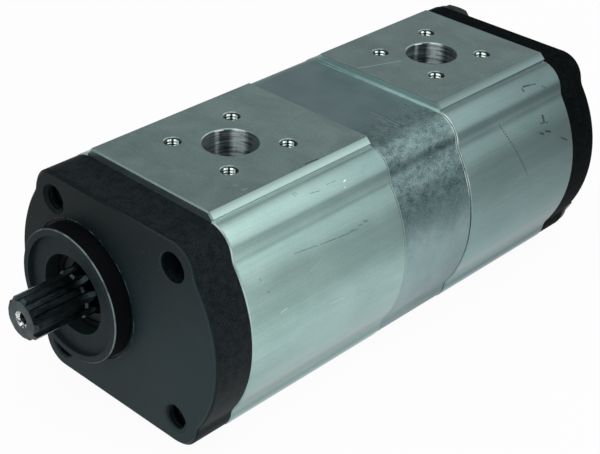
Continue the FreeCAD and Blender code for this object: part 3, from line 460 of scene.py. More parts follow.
def milled_pads(metal, shades):
    tone = metal.contrast(metal.mill_lines * 0.22 + metal.worn * 0.38 + metal.grain * 0.40, 0.18)
    colour = metal.times(metal.mix(tone, *MILLED_METAL), shades["pad"])
    # Painted shade at the pad's near end and along its rounded edge.
    near_end_painted_shade = 1 - metal.between(metal.y - metal.front_mm, 0.0, NEAR_END_MM)
    colour = metal.mix(near_end_painted_shade * shades["near_end_painted_shade"], colour, SHADOW)
    rounded = metal.between(metal.out, PAD_HALF_MM - PAD_EDGE_MM, PAD_HALF_MM)
    return metal.mix(rounded * PAD_EDGE_SHADOW, colour, SHADOW)


# %% [markdown]
# A bored wall is a ring of fine grooves, painted dark as painted shade but for two stripes of
# painted highlight that run down it. The pad's flank is steep and smooth, and it is painted as
# the lightest part of the housing, with painted light most of all at its foot and painted shade
# towards the rear end.

# %% Bored ports and flanks
BORED_SHADE_AND_HIGHLIGHT = ((0.03, 0.045, 0.047), (0.80, 0.95, 0.95))
FLANK_METAL_AND_LIGHT = ((0.19, 0.275, 0.257), (0.62, 0.80, 0.76))
FAINT_STRIPE = (-5.2, 1.2)
BROAD_STRIPE = (2.3, 3.9)
RIM_HIGHLIGHT_STRIPES = ((-4.6, 2.0), (2.6, 3.2))
FLANK_FOOT_MM = (2.5, 1.9)
FLANK_FADE_MM = 2.0


def highlight_stripes(metal):
    """1 on a bore's painted highlight stripes, each by its place across and half its width."""
    across = metal.across(metal.port_mm)
    faint = metal.strip(across, *FAINT_STRIPE, 0.9) * 0.55
    return faint.top(metal.strip(across, *BROAD_STRIPE, 0.7))


def rim_highlight_stripes(metal):
    """1 where a port's rim gets a painted highlight."""
    across = metal.across(metal.port_mm)
    narrow, broad = (metal.strip(across, *stripe, 0.6) for stripe in RIM_HIGHLIGHT_STRIPES)
    return narrow.top(broad)


def bored_wall(metal):
    # Painted shade in the bore, lifted by the stripes of painted highlight.
    highlight = highlight_stripes(metal)
    grooves = metal.between(metal.rings * 0.72 + metal.streaks * 0.28, 0.40, 0.58)
    tone = grooves * highlight.raised(0.16) + highlight * 0.34
    return metal.mix(tone.clamp(), *BORED_SHADE_AND_HIGHLIGHT)


def pad_flanks(metal, shades):
    # Painted light on the flank, most at its foot, and painted shade towards the rear end.
    fade = 1 - metal.between(metal.height, pad_top_mm - FLANK_FADE_MM, pad_top_mm)
    foot = 1 - metal.between(metal.height, *(pad_top_mm - depth for depth in FLANK_FOOT_MM))
    tone = fade * 0.40 + metal.die_lines * 0.2 + foot * 0.35
    tone = tone * (1 - metal.towards_back * 0.35)
    return metal.times(metal.mix(tone, *FLANK_METAL_AND_LIGHT), shades["flank"])


# %% [markdown]
# Where two housings meet, the front edge of the rear one is worn in broken lines that carry a
# painted highlight, and the front one's edge has a painted highlight beside its cover, most where
# it faces up. The pad stands a step higher than the middle housing, and the upright face of that
# step is a pale strip with painted light, brightest at its foot. The dotted rub is one leaning
# line, broken into dots by a sine wave over the height.

# %% Edges, step and rub
EDGE_MM = (0.22, 0.20)
EDGE_LIT_MM = (2.0, 26.0)
END_FACE_MM = (0.02, 0.05)
STEP_FOOT_MM = (0.5, 0.9)
STEP_SIDE_MM = (-20.0, 44.0)
ABOVE_STEP_MM = 0.8
DOT_MM = 1.0
RUB_HALF_MM = 0.5
RUB_DARKNESS = 0.85


def worn_edge_highlight(metal):
    """The painted highlight on the front end's bevel: most where it faces up, in broken lines."""
    place_mm, half_mm = EDGE_MM
    broken = metal.contrast(metal.noise(6, detail=5), 0.10)
    lit = metal.between(metal.z, *EDGE_LIT_MM)
    below_step = 1 - metal.between(metal.height, flat_top_mm, flat_top_mm + ABOVE_STEP_MM)
    edge = metal.strip(metal.y, metal.front_mm + place_mm, half_mm, 0.6) * lit.raised(0.12)
    return edge * broken.raised(0.45) * (1 - metal.hole) * below_step.raised(0.15)


def end_face(metal):
    return 1 - metal.between(metal.y, *(metal.front_mm + behind for behind in END_FACE_MM))


def step_painted_light(metal):
    """The painted light on the upright face of the step: most at its foot and towards the side."""
    towards_side = metal.between(metal.x, *STEP_SIDE_MM)
    foot = 1 - metal.between(metal.height, *(flat_top_mm + above for above in STEP_FOOT_MM))
    return (towards_side * 0.45).top(foot * towards_side.raised(0.35))


def dotted_rub(metal, rub):
    """A leaning row of dark dots on the right side, between a top and a foot in y and z."""
    (top_y, top_z), (foot_y, foot_z) = rub
    lean = (foot_y - top_y) / (top_z - foot_z)
    dots = metal.between((metal.z * (2 * math.pi / DOT_MM)).math("SINE"), -0.3, 0.4)
    line = metal.strip(metal.y + metal.z * lean, top_y + top_z * lean, RUB_HALF_MM) * dots
    line = line * metal.strip(metal.z, (top_z + foot_z) / 2, (top_z - foot_z) / 2, 0.3)
    return line * metal.between(metal.x, case_x_mm, case_x_mm + 1.0) * RUB_DARKNESS


# %% [markdown]
# The zones are laid over one another from the widest to the smallest, and the marks of
# handling come last: dark ones, where dirt sits in a scratch, and light ones of fresh metal.

# %% Extruded aluminium with milled pads
# The rim, hole, step and edge colours carry painted highlights, painted shade and painted light.
RIM_METAL_AND_HIGHLIGHT = ((0.12, 0.17, 0.16), (0.95, 0.98, 0.97))
HOLE_SHADE = (0.10, 0.125, 0.12)
STEP_METAL_AND_LIGHT = ((0.41, 0.57, 0.54), (0.82, 1.0, 0.96))
EDGE_HIGHLIGHT = (0.70, 0.88, 0.84)
DIRTY_SCRATCH = (0.025, 0.035, 0.035)
FRESH_SCRATCH = (0.68, 0.88, 0.84)
TOOL_MARK_MM = 0.02


def extruded_aluminium(name, stage, shades, edge_light, dark_marks, light_marks, rub=None):
    """A gear housing's finish.

    The shades are shares of the bare metal's colour, zone by zone, with painted light and shade
    among them, and the edge light is how bright the painted highlight on the front edge is. The
    rub, if there is one, is a top and a foot.
    """
    metal = GearHousing(name, stage)
    colour = metal.mix(metal.pad, drawn_sides(metal, shades), milled_pads(metal, shades))
    colour = metal.mix(metal.flank * (1 - metal.pad), colour, pad_flanks(metal, shades))
    # A painted highlight on each port's rim.
    rim_highlight = rim_highlight_stripes(metal)
    colour = metal.mix(metal.mouth, colour, metal.mix(rim_highlight, *RIM_METAL_AND_HIGHLIGHT))
    colour = metal.mix(metal.bore, colour, bored_wall(metal))
    # Painted shade in the screw holes.
    colour = metal.mix(metal.hole, colour, HOLE_SHADE)
    colour = metal.mix(end_face(metal), colour, metal.mix(step_painted_light(metal), *STEP_METAL_AND_LIGHT))
    colour = metal.mix(worn_edge_highlight(metal) * edge_light, colour, EDGE_HIGHLIGHT)

    dark = metal.marks(dark_marks) * metal.between(metal.noise(0.9, detail=1), 0.30, 0.46)
    if rub:
        dark = dark.top(dotted_rub(metal, rub))
    colour = metal.mix(dark, colour, DIRTY_SCRATCH)
    colour = metal.mix(metal.marks(light_marks), colour, FRESH_SCRATCH)

    drawn_rough = 0.24 + metal.cloud * 0.12 + metal.grain * 0.06
    milled_rough = 0.30 + metal.worn * 0.16
    drawn_relief = metal.die_lines * (1 - metal.pad) * (1 - metal.bore) * 0.6
    relief = drawn_relief + metal.mill_lines * metal.pad * 0.5 + metal.rings * metal.bore * 1.5
    return metal.feed(
        Base_Color=colour,
        Metallic=1 - metal.bore.top(metal.mouth * rim_highlight) * 0.8,
        Roughness=drawn_rough * (1 - metal.pad) + milled_rough * metal.pad,
        Normal=metal.bump(relief - dark * 1.5, TOOL_MARK_MM, 0.35),
    )


# %% [markdown]
# The marks are those that handling leaves: one long scratch along the front housing with a
# smudge at its end, short nicks below the pads, a light scratch beside the rear port and a
# dotted rub on the rear housing. Each is written by its place along the pump and its height.

# %% Marks on the gear housings
def side_marks(*marks):
    """Marks on the right side: y and z of both ends, half width and strength."""
    return [
        (on_side(y1, z1), on_side(y2, z2), width, strength)
        for y1, z1, y2, z2, width, strength in marks
    ]


def pad_marks(*marks):
    """Marks on the upper pad: x and y of both ends, half width and strength."""
    return [
        ((x1, y1, pad_top_mm), (x2, y2, pad_top_mm), width, strength)
        for x1, y1, x2, y2, width, strength in marks
    ]


front_dark = side_marks(
    (41.0, 24.1, 55.0, 22.6, 0.13, 0.75),
    (55.0, 22.6, 68.0, 21.6, 0.16, 0.85),
    (67.0, 22.0, 71.0, 21.7, 0.55, 0.40),
    (72.0, 22.4, 73.5, 22.2, 0.45, 0.35),
    (75.0, 22.8, 76.5, 22.4, 0.60, 0.38),
    (49.5, 39.6, 49.8, 39.0, 0.20, 0.65),
    (50.6, 39.6, 50.9, 39.1, 0.20, 0.60),
    (55.5, 38.1, 60.0, 37.6, 0.17, 0.70),
    (64.0, 38.2, 68.5, 38.1, 0.22, 0.50),
    (26.2, 17.4, 26.3, 17.0, 0.45, 0.40),
    (24.2, 22.2, 24.2, 21.8, 0.35, 0.45),
) + pad_marks((44.6, 62.0, 45.2, 67.5, 0.40, 0.85))
front_light = side_marks(
    (29.8, 8.6, 32.9, 8.9, 0.20, 0.60),
    (45.5, 16.8, 51.5, 17.9, 0.14, 0.30),
    (53.0, 1.5, 60.5, 0.6, 0.16, 0.35),
    (71.3, 37.0, 72.3, 37.2, 0.30, 0.90),
    (70.4, 35.6, 70.9, 35.4, 0.25, 0.60),
) + pad_marks((42.7, 34.1, 43.2, 36.0, 0.20, 0.80), (38.8, 33.8, 39.2, 35.6, 0.18, 0.70))
rear_dark = side_marks(
    (174.8, 38.2, 178.0, 37.9, 0.48, 0.95),
    (178.0, 37.9, 182.0, 37.4, 0.30, 0.95),
    (173.7, 37.7, 174.0, 37.1, 0.75, 0.85),
    (184.8, 36.0, 186.6, 34.8, 0.36, 0.80),
    (181.0, 25.9, 180.8, 24.3, 0.80, 1.0),
    (178.2, 24.0, 182.6, 23.2, 0.38, 0.80),
    (176.6, 20.9, 178.4, 20.1, 0.60, 0.90),
    (180.2, 20.6, 182.8, 19.6, 0.58, 0.95),
    (188.8, 15.4, 192.3, 13.4, 0.55, 0.85),
) + pad_marks((16.8, 142.9, 17.1, 143.1, 0.35, 0.80), (35.9, 190.8, 36.2, 191.0, 0.35, 0.70))
rear_light = pad_marks((5.8, 132.0, 12.6, 149.0, 0.26, 0.90), (5.8, 132.0, 9.0, 140.0, 0.16, 0.60))
rear_rub = ((154.8, 32.0), (166.2, 6.5))
print("marks on the housings:", len(front_dark + front_light + rear_dark + rear_light))

# %% [markdown]
# The two housings have the same finish in different shades: the rear one is much darker, and
# both carry painted shade towards their rear ends, most of all on their upper halves.

# %% Shades of the two housings
# The shades by height, in the hollows, at the pad's near end, on the flank and towards the back are
# painted light and painted shade.
front_shades = {
    "above": (1.08, 1.13, 1.13),
    "below": (0.715, 0.795, 0.815),
    "hollow_painted_shade": (0.76, 0.77, 0.78),
    "pad": (0.98, 1.0, 1.0),
    "near_end_painted_shade": 0.10,
    "flank": (1.0, 1.0, 1.0),
    "back_high": (0.48, 0.51, 0.53),
    "back_low": (0.93, 0.95, 0.96),
}
rear_shades = {
    "above": (0.530, 0.575, 0.600),
    "below": (0.465, 0.605, 0.650),
    "hollow_painted_shade": (0.66, 0.68, 0.69),
    "pad": (0.88, 0.90, 0.92),
    "near_end_painted_shade": 0.0,
    "flank": (0.46, 0.49, 0.51),
    "back_high": (0.44, 0.45, 0.46),
    "back_low": (0.56, 0.57, 0.58),
}
front_body_finish = extruded_aluminium(
    "front_extrusion", "front", front_shades, 0.9, front_dark, front_light
)
rear_body_finish = extruded_aluminium(
    "rear_extrusion", "rear", rear_shades, 1.0, rear_dark, rear_light, rear_rub
)
print("the gear housings are finished")


# %% [markdown]
# The two joints of the middle housing are dark gaps, with painted highlights on the lips beside
# them. The joint with the rear housing is the wider one. Each is a strip at the housing's own
# end, so it follows the housing if that is made longer.

# %% Gaps and lips of the joints
GAP_DARK = (0.010, 0.015, 0.017)
LIP_HIGHLIGHT = (0.66, 0.78, 0.75)
LIP_COVER = 0.85
TOP_BEVEL_MM = (0.6, 0.3)
GAP_HEIGHTS_MM = (4.0, 20.0)
FOOT_LINE_MM = (-22.0, 30.0)


def joint_lines(finish, colour):
    """The colour with the gaps drawn over it in dark and painted highlights on their lips."""
    near_mm, far_mm = span("middle_housing", 1)
    broken = finish.contrast(finish.noise(5, detail=5), 0.10)
    high = finish.between(finish.z, *GAP_HEIGHTS_MM)
    below_top = 1 - finish.between(finish.z, *(flat_top_mm - depth for depth in TOP_BEVEL_MM))
    low_gap = finish.strip(finish.y, far_mm, 1.15, 0.4) * (1 - high)
    near_gap = finish.strip(finish.y, near_mm, 0.30) * 0.6
    gap = low_gap.top(finish.strip(finish.y, far_mm, 0.60)).top(near_gap)
    # The lips are painted highlights, stronger higher up the side.
    far_lip_highlight = finish.strip(finish.y, far_mm - 0.90, 0.28) * high * broken.raised(0.3)
    along_foot = finish.between(finish.x, *FOOT_LINE_MM)
    foot_line_highlight = finish.strip(finish.y, far_mm, 0.85) * (1 - below_top) * along_foot
    near_lip_highlight = finish.strip(finish.y, near_mm + 0.45, 0.35) * below_top * (0.15 + high * 0.20)
    lip_highlight = far_lip_highlight.top(foot_line_highlight).top(near_lip_highlight)
    colour = finish.mix(gap * below_top, colour, GAP_DARK)
    return finish.mix(lip_highlight * LIP_COVER, colour, LIP_HIGHLIGHT)


# %% [markdown]
# The middle housing is blasted, so it is a darker and matt grey. The grit struck the upper part
# of its side hardest, which is mottled there, and the top and the lower part are calmer. Two
# noises of different sizes make the mottling, and a slow change with height holds it in place.
# The mottled side is painted lighter on its shoulder as painted light and darker in the hollows
# as painted shade, and the calm lower part has painted shade towards the rear end and
# underneath. Across the top, near the right side, run two dark witness lines with a painted
# glint between them.

# %% Blasted aluminium
MOTTLED = ((0.040, 0.071, 0.074), (0.170, 0.252, 0.256))
CALM_TOP = ((0.175, 0.265, 0.285), (0.235, 0.335, 0.350))
CALM_SIDE = ((0.240, 0.355, 0.365), (0.330, 0.460, 0.465))
PAINTED_GLINT = (0.55, 0.65, 0.65)
SHOULDER_MM = (21.0, 27.0)
SHOULDER_PAINTED_LIGHT = (1.60, 1.55, 1.52)
MIDDLE_HOLLOW_MM = 2.9
MIDDLE_HOLLOW_SHADE = (0.50, 0.52, 0.53)
TOP_BAND_MM = (1.6, 0.1)
TOP_SIDE_MM = (34.0, 52.0)
STRUCK_FROM_MM = (6.0, 25.0)
UNDERSIDE_MM = (-30.0, -6.0)
BLAST_DEPTH_MM = 0.05


def top_marks(*marks):
    """Marks on the flat top: x and y of both ends, half width and strength."""
    return [
        ((x1, y1, flat_top_mm), (x2, y2, flat_top_mm), width, strength)
        for x1, y1, x2, y2, width, strength in marks
    ]


def blasted_aluminium():
    finish = Finish("blasted_aluminium", Metallic=1.0)
    grain = finish.noise(0.55, detail=3)
    patch = finish.noise(2.6, (1, 1.3, 1), detail=5, distortion=0.4)
    cloud = finish.noise(13, detail=4)
    top = finish.between(finish.z, *(flat_top_mm - depth for depth in TOP_BAND_MM))
    top = top * (1 - finish.between(finish.x + cloud * 12, *TOP_SIDE_MM) * 0.85)
    low = 1 - finish.between(finish.z + patch * 12, *STRUCK_FROM_MM)
    struck = (1 - top) * (1 - low)

    tone = finish.contrast(grain * 0.40 + patch * 0.38 + cloud * 0.22, 0.16)
    mottled = finish.mix(tone, *MOTTLED)
    # Painted light on the shoulder, then painted shade in the hollows.
    shoulder = finish.between(finish.z, *SHOULDER_MM)
    mottled = finish.mix(shoulder, mottled, finish.times(mottled, SHOULDER_PAINTED_LIGHT))
    hollow = finish.hollow(MIDDLE_HOLLOW_MM)
    mottled = finish.mix(hollow, mottled, finish.times(mottled, MIDDLE_HOLLOW_SHADE))
    # Painted shade towards the rear end and underneath.
    near_mm, far_mm = span("middle_housing", 1)
    painted_shade = finish.between(finish.y, near_mm - 10.0, far_mm + 10.0) * 0.30
    painted_shade = painted_shade + (1 - finish.between(finish.z, *UNDERSIDE_MM)) * 0.24
    calm = finish.contrast(grain * 0.35 + cloud * 0.65, 0.25)
    lower = finish.mix(painted_shade, finish.mix(calm, *CALM_SIDE), SHADOW)
    colour = finish.mix(struck, finish.mix(low, finish.mix(calm, *CALM_TOP), lower), mottled)

    witness = finish.marks(top_marks(
        (28.6, 113.2, 45.5, 112.2, 0.24, 0.85),
        (33.0, 112.0, 45.0, 111.0, 0.16, 0.60),
        (34.4, 126.2, 34.8, 126.4, 0.40, 0.80),
    ))
    # A painted glint between the witness lines.
    painted_glint = finish.marks(top_marks((29.5, 112.7, 44.0, 111.7, 0.18, 0.70)))
    colour = finish.mix(witness, colour, DIRTY_SCRATCH)
    colour = finish.mix(painted_glint, colour, PAINTED_GLINT)
    return finish.feed(
        Base_Color=joint_lines(finish, colour),
        Roughness=0.42 + patch * 0.12 + struck * 0.06,
        Normal=finish.bump(grain * struck.raised(0.3), BLAST_DEPTH_MM, 0.5),
    )


middle_finish = blasted_aluminium()
print("the middle housing is blasted")


# %% [markdown]
# Both covers are cast iron with a thin black coat. The machined face is smooth, and the cast
# edges keep the grain of the sand mould, with pinpoint bright specks where the coat is thin.
# On the turned boss of the front cover the coat is rubbed off its rim, and the bevels have
# rubbed spots too, so thin broken lines of light metal follow the edges; they are painted
# brighter where they face the light, as painted glints.

# %% The turned boss, its rubbed edges and painted glints
RIM_MM = 24.75
FOOT_MM = 26.2
TURNED_OUT_MM = (25.2, 25.4)
TURNED_BEHIND_MM = (0.3, 0.6)
BOSS_TONES = ((0.012, 0.0195, 0.022), (0.022, 0.034, 0.037))
BOSS_WALL = (0.0016, 0.0028, 0.0034)
RUBBED_IRON_AND_GLINT = (0.20, 0.26, 0.265)


def turned_boss(finish, film):
    """Where the boss is turned, its lines, and its colour, which the film's painted sheen lightens.
    """
    from_axis = finish.around(0.0, None, 0.0)
    before_face = 1 - finish.between(finish.y, *TURNED_BEHIND_MM)
    turned = (1 - finish.between(from_axis, *TURNED_OUT_MM)) * before_face
    lines = finish.contrast(finish.noise(1.2, (1, 0.15, 1), detail=3), 0.10)
    wall = finish.between(from_axis, RIM_MM - 0.2, RIM_MM + 0.2)
    end = finish.mix(lines * 0.4 + film * 0.6, *BOSS_TONES)
    return turned, lines, finish.mix(wall, end, BOSS_WALL)


def rubbed_iron_and_glints(finish):
    """How far the coat is rubbed off the boss's rim, foot and face edge, with painted glints."""
    from_axis = finish.around(0.0, None, 0.0)
    broken = finish.contrast(finish.noise(5, detail=5), 0.08)
    # Painted glints: the rubbed lines are brighter towards the light.
    towards_light = finish.between(finish.x + finish.z * 0.6, -18.0, 18.0)
    at_top = 1 - finish.between(finish.y, boss_top_mm + 0.4, boss_top_mm + 0.6)
    rim = finish.strip(from_axis, RIM_MM, 0.26) * at_top * towards_light.raised(0.25)
    at_foot = 1 - finish.between(abs(finish.y), 0.2, 0.4)
    foot = finish.strip(from_axis, FOOT_MM + 0.1, 0.22) * at_foot * towards_light
    outer = finish.between(from_axis, FOOT_MM + 1.5, FOOT_MM + 1.6)
    edge = finish.strip(finish.y, 0.30, 0.35) * outer * finish.between(finish.x, 4.0, 40.0)
    return (rim * broken.raised(0.45)).top(foot * broken * 0.6).top(edge * 0.09)


# %% [markdown]
# The coat itself is nearly black, and the machined faces carry a painted sheen that grows
# towards the lower right corner, seen from the shaft. The sand grain is colour and relief at
# once, so it shows in any light.

# %% Black coat on cast iron
CAST_SPECK = (0.060, 0.078, 0.082)
FACE_SPECK = (0.09, 0.115, 0.115)
OFF_FACE_MM = (0.3, 1.3)
PAINTED_SHEEN_MM = (-34.0, 40.0)
SAND_DEPTH_MM = 0.10


def black_casting(name, face_mm, face_tones, cast_tones, gloss, boss=False):
    """The face is where the machined side lies along the pump; tones run from dark to light."""
    finish = Finish(name, Metallic=0.0, Specular_IOR_Level=gloss)
    off_face = finish.between(abs(finish.y - face_mm), *OFF_FACE_MM)
    sand = finish.noise(0.55, detail=4)
    lumps = finish.noise(2.6, detail=4)
    cloud = finish.noise(16, detail=5, distortion=0.5)
    # The film is a painted sheen, lighter towards the lower right of the machined faces.
    film = 1 - finish.between(finish.z - finish.x * 0.5, *PAINTED_SHEEN_MM)
    face_colour = finish.mix(film * 0.92 + sand * 0.08, *face_tones)
    cast_colour = finish.mix(finish.contrast(sand * 0.6 + lumps * 0.4, 0.12), *cast_tones)
    colour = finish.mix(off_face, face_colour, cast_colour)
    specks = finish.between(finish.noise(0.28, detail=2), 0.64, 0.74) * off_face
    colour = finish.mix(specks * 0.55, colour, CAST_SPECK)
    relief = sand * off_face.raised(0.12) + lumps * off_face * 0.5
    if boss:
        turned, lines, turned_colour = turned_boss(finish, film)
        colour = finish.mix(turned, colour, turned_colour)
        colour = finish.mix(rubbed_iron_and_glints(finish), colour, RUBBED_IRON_AND_GLINT)
        specks = finish.between(finish.noise(0.8, detail=1), 0.68, 0.76) * (1 - off_face)
        colour = finish.mix(specks * 0.45, colour, FACE_SPECK)
        relief = relief * (1 - turned) + lines * turned * 0.1
    return finish.feed(
        Base_Color=colour,
        Roughness=0.46 + cloud * 0.10 + off_face * 0.10,
        Normal=finish.bump(relief, SAND_DEPTH_MM, 0.40),
    )


front_finish = black_casting(
    "front_black_casting",
    face_mm=0.0,
    face_tones=((0.0028, 0.0070, 0.0085), (0.0165, 0.0320, 0.0355)),
    cast_tones=((0.0008, 0.0030, 0.0042), (0.0095, 0.0165, 0.0190)),
    gloss=0.10,
    boss=True,
)
rear_finish = black_casting(
    "rear_black_casting",
    face_mm=span("rear_cover", 1)[1],
    face_tones=((0.0048, 0.0080, 0.0092), (0.0110, 0.0170, 0.0190)),
    cast_tones=((0.0003, 0.0009, 0.0012), (0.0030, 0.0052, 0.0060)),
    gloss=0.015,
)
print("castings are coated")


# %% [markdown]
# The shaft is hardened steel under a film of oil, nearly black, with polished corners. The
# centre hole in its end was drilled after hardening, so that spot is bare bright steel, with a
# glitter of painted glints on it.

# %% Oiled shaft steel
OILED_STEEL = ((0.013, 0.021, 0.024), (0.060, 0.082, 0.088))
DRILLED_STEEL_AND_GLINT = ((0.05, 0.06, 0.06), (0.85, 0.90, 0.88))
CENTRE_MM = (3.05, 3.15)
CENTRE_DEPTH_MM = (2.0, 3.0)


def oiled_steel():
    finish = Finish("oiled_steel", Metallic=1.0)
    lines = finish.noise(0.35, (1, 8, 1), detail=3)
    film = finish.noise(4, (1, 2, 1), detail=4, distortion=0.4)
    colour = finish.mix(finish.contrast(lines * 0.4 + film * 0.6, 0.16), *OILED_STEEL)
    centre = 1 - finish.between(finish.around(0.0, None, 0.0), *CENTRE_MM)
    deep = finish.between(finish.y, *(shaft_tip_mm + depth for depth in CENTRE_DEPTH_MM))
    # A glitter of painted glints in the drilled centre hole.
    painted_glitter = finish.between(finish.noise(0.7, detail=4), 0.42, 0.54)
    return finish.feed(
        Base_Color=finish.mix(centre * (1 - deep), colour, finish.mix(painted_glitter, *DRILLED_STEEL_AND_GLINT)),
        Roughness=0.25 + film * 0.16,
        Normal=finish.bump(lines, 0.012, 0.3),
    )


shaft_finish = oiled_steel()
print("the shaft is oiled")


# %% [markdown]
# Inside are ground gears, bronze-lined bushes, aluminium bearing blocks and rubber seals. They
# show through the ports and in the open bore at the shaft, so each gets its own finish too.

# %% Steel, bronze and rubber
RUBBER = ((0.010, 0.011, 0.012), (0.026, 0.027, 0.028))


def worked_metal(name, dark, light, rough):
    """Machined metal between two tones, with fine tool marks and patches of wear."""
    finish = Finish(name, Metallic=1.0)
    lines = finish.noise(0.4, detail=3)
    patches = finish.noise(7, detail=4)
    return finish.feed(
        Base_Color=finish.mix(finish.contrast(lines * 0.5 + patches * 0.5, 0.15), dark, light),
        Roughness=rough + patches * 0.12,
        Normal=finish.bump(lines, 0.01, 0.3),
    )


def soft_rubber():
    finish = Finish("nitrile_rubber", Metallic=0.0)
    skin = finish.noise(0.8, detail=4)
    return finish.feed(
        Base_Color=finish.mix(skin, *RUBBER),
        Roughness=0.5 + skin * 0.2,
        Normal=finish.bump(skin, 0.03, 0.4),
    )


gear_finish = worked_metal("ground_steel", (0.36, 0.39, 0.40), (0.56, 0.58, 0.59), 0.20)
clip_finish = worked_metal("phosphated_steel", (0.030, 0.034, 0.036), (0.085, 0.092, 0.096), 0.36)
bolt_finish = worked_metal("blackened_steel", (0.010, 0.013, 0.014), (0.034, 0.040, 0.042), 0.34)
block_finish = worked_metal("bearing_aluminium", (0.50, 0.53, 0.52), (0.68, 0.71, 0.69), 0.28)
bronze_finish = worked_metal("bearing_bronze", (0.34, 0.22, 0.11), (0.54, 0.38, 0.20), 0.30)
rubber_finish = soft_rubber()
print(len(bpy.data.materials), "materials so far")


# %% [markdown]
# The port screw threads are freshly cut. They are painted dark as painted shade, but for two
# stripes of painted highlight, one of them only near the top. The place within a hole comes
# from the wrap operation, which folds the circle's four holes onto one another.

# %% Cut threads with painted shade and highlights
THREAD_SHADE_AND_HIGHLIGHT = ((0.035, 0.042, 0.036), (0.80, 0.93, 0.86))
NEAR_TOP_DEPTHS_MM = (5.0, 1.0)


def cut_thread(stage, port):
    finish = Finish(f"{stage}_{port}_thread_metal", Metallic=1.0)
    arm = screw_arm_mm(port)
    in_x = (finish.x - case_x_mm + arm).math("WRAP", arm, -arm)
    in_y = (finish.y - port_y_mm[stage] + arm).math("WRAP", arm, -arm)
    across = in_x * ACROSS[0] + in_y * ACROSS[1]
    # Painted highlights: two bright stripes, one only near the top; the rest is painted shade.
    near_top = finish.between(abs(finish.z), *(pad_top_mm - depth for depth in NEAR_TOP_DEPTHS_MM))
    left = finish.strip(across, -1.35, 0.75, 0.4) * near_top
    thread_highlight = left.top(finish.strip(across, 1.05, 1.05, 0.3))
    return finish.feed(
        Base_Color=finish.mix(thread_highlight, *THREAD_SHADE_AND_HIGHLIGHT), Roughness=0.34 - near_top * 0.16
    )


# %% [markdown]
# Each solid then takes the finish of its material slot in the record, but the two covers and
# the two gear housings have finishes of their own. The meshes' materials are cleared first,
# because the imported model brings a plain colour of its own.

# %% Dress the solids
FINISH_OF_SLOT = {
    "blasted_aluminium": middle_finish,
    "bearing_aluminium": block_finish,
    "bearing_bronze": bronze_finish,
    "shaft_steel": shaft_finish,
    "gear_steel": gear_finish,
    "spring_steel": clip_finish,
    "blackened_steel": bolt_finish,
    "seal_rubber": rubber_finish,
}
FINISH_OF_NODE = {
    "front_cover": front_finish,
    "rear_cover": rear_finish,
    "front_body": front_body_finish,
    "rear_body": rear_body_finish,
}

for part in frame["record"]["subparts"]:
    name = part["node"]
    finish = FINISH_OF_NODE.get(name) or FINISH_OF_SLOT[part["material_slot"]]
    mesh = nodes[name].data
    mesh.materials.clear()
    mesh.materials.append(finish.material)


# %% [markdown]
# The port screws are M6 and the tie bolts are M10. The solids have plain holes at the thread's
# outer radius, and a real hole has a ridge winding up its wall. The ridge is modelled once:
# a small diamond beside the axis, carried round and up by the Screw modifier. Its inner corner
# is the crest, and its outer corner is out of sight inside the metal.

# %% Wind a thread
RIDGE_SHARE = 0.44
SMOOTH_BELOW = math.radians(35)


def look_at_only(piece):
    bpy.ops.object.select_all(action="DESELECT")
    piece.select_set(True)
    bpy.context.view_layer.objects.active = piece


def wind_thread(name, outer_mm, depth_mm, pitch_mm, turns, steps):
    """A ridge about the upright axis, starting at the origin and winding upwards."""
    bpy.ops.object.select_all(action="DESELECT")
    bpy.ops.mesh.primitive_circle_add(
        vertices=4, radius=depth_mm * MM, location=(outer_mm * MM, 0, 0), rotation=(math.pi / 2, 0, 0)
    )
    ridge = bpy.context.object
    ridge.name = name
    bpy.ops.object.transform_apply(location=True, rotation=True, scale=True)
    bpy.ops.object.mode_set(mode="EDIT")
    bpy.ops.mesh.select_all(action="SELECT")
    flatten = pitch_mm * RIDGE_SHARE / depth_mm
    bpy.ops.transform.resize(value=(1, 1, flatten), center_override=(0, 0, 0))
    bpy.ops.object.mode_set(mode="OBJECT")
    screw = ridge.modifiers.new("wind", "SCREW")
    screw.screw_offset = pitch_mm * MM
    screw.iterations = turns
    screw.steps = steps
    screw.render_steps = steps
    bpy.ops.object.modifier_apply(modifier=screw.name)
    bpy.ops.object.mode_set(mode="EDIT")
    bpy.ops.mesh.select_all(action="DESELECT")
    bpy.ops.mesh.select_non_manifold(extend=False, use_boundary=True)
    bpy.ops.mesh.edge_face_add()
    bpy.ops.mesh.select_all(action="SELECT")
    bpy.ops.mesh.normals_make_consistent(inside=False)
    bpy.ops.object.mode_set(mode="OBJECT")
    bpy.ops.object.shade_smooth_by_angle(angle=SMOOTH_BELOW)
    return ridge


# %% [markdown]
# A finished piece keeps its place in its mesh, as the solids do, so each copy has its move and
# its tilt applied. Copies that ride together are joined into one piece.

# %% Copy and join
def copy_to(piece, name, place_mm, tilt=(0, 0, 0)):
    """A copy with its own mesh, its place and tilt taken into the mesh."""
    look_at_only(piece)
    bpy.ops.object.duplicate(linked=False)
    copy = bpy.context.object
    copy.name = name
    copy.rotation_euler = tilt
    copy.location = Vector(place_mm) * MM
    bpy.ops.object.transform_apply(location=True, rotation=True, scale=True)
    return copy


def join_as(name, copies, body, finish):
    """One piece from several copies, riding on a body."""
    bpy.ops.object.select_all(action="DESELECT")
    for copy in copies:
        copy.select_set(True)
    bpy.context.view_layer.objects.active = copies[0]
    bpy.ops.object.join()
    piece = bpy.context.object
    piece.name = name
    piece.data.materials.clear()
    piece.data.materials.append(finish.material)
    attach(piece, body)
    print(name, len(piece.data.polygons), "faces")


# %% [markdown]
# A port has four screws on a circle, at 45 degrees to the pump. The threads of one port are
# joined into one piece, and the lower ports are the upper ones turned over.

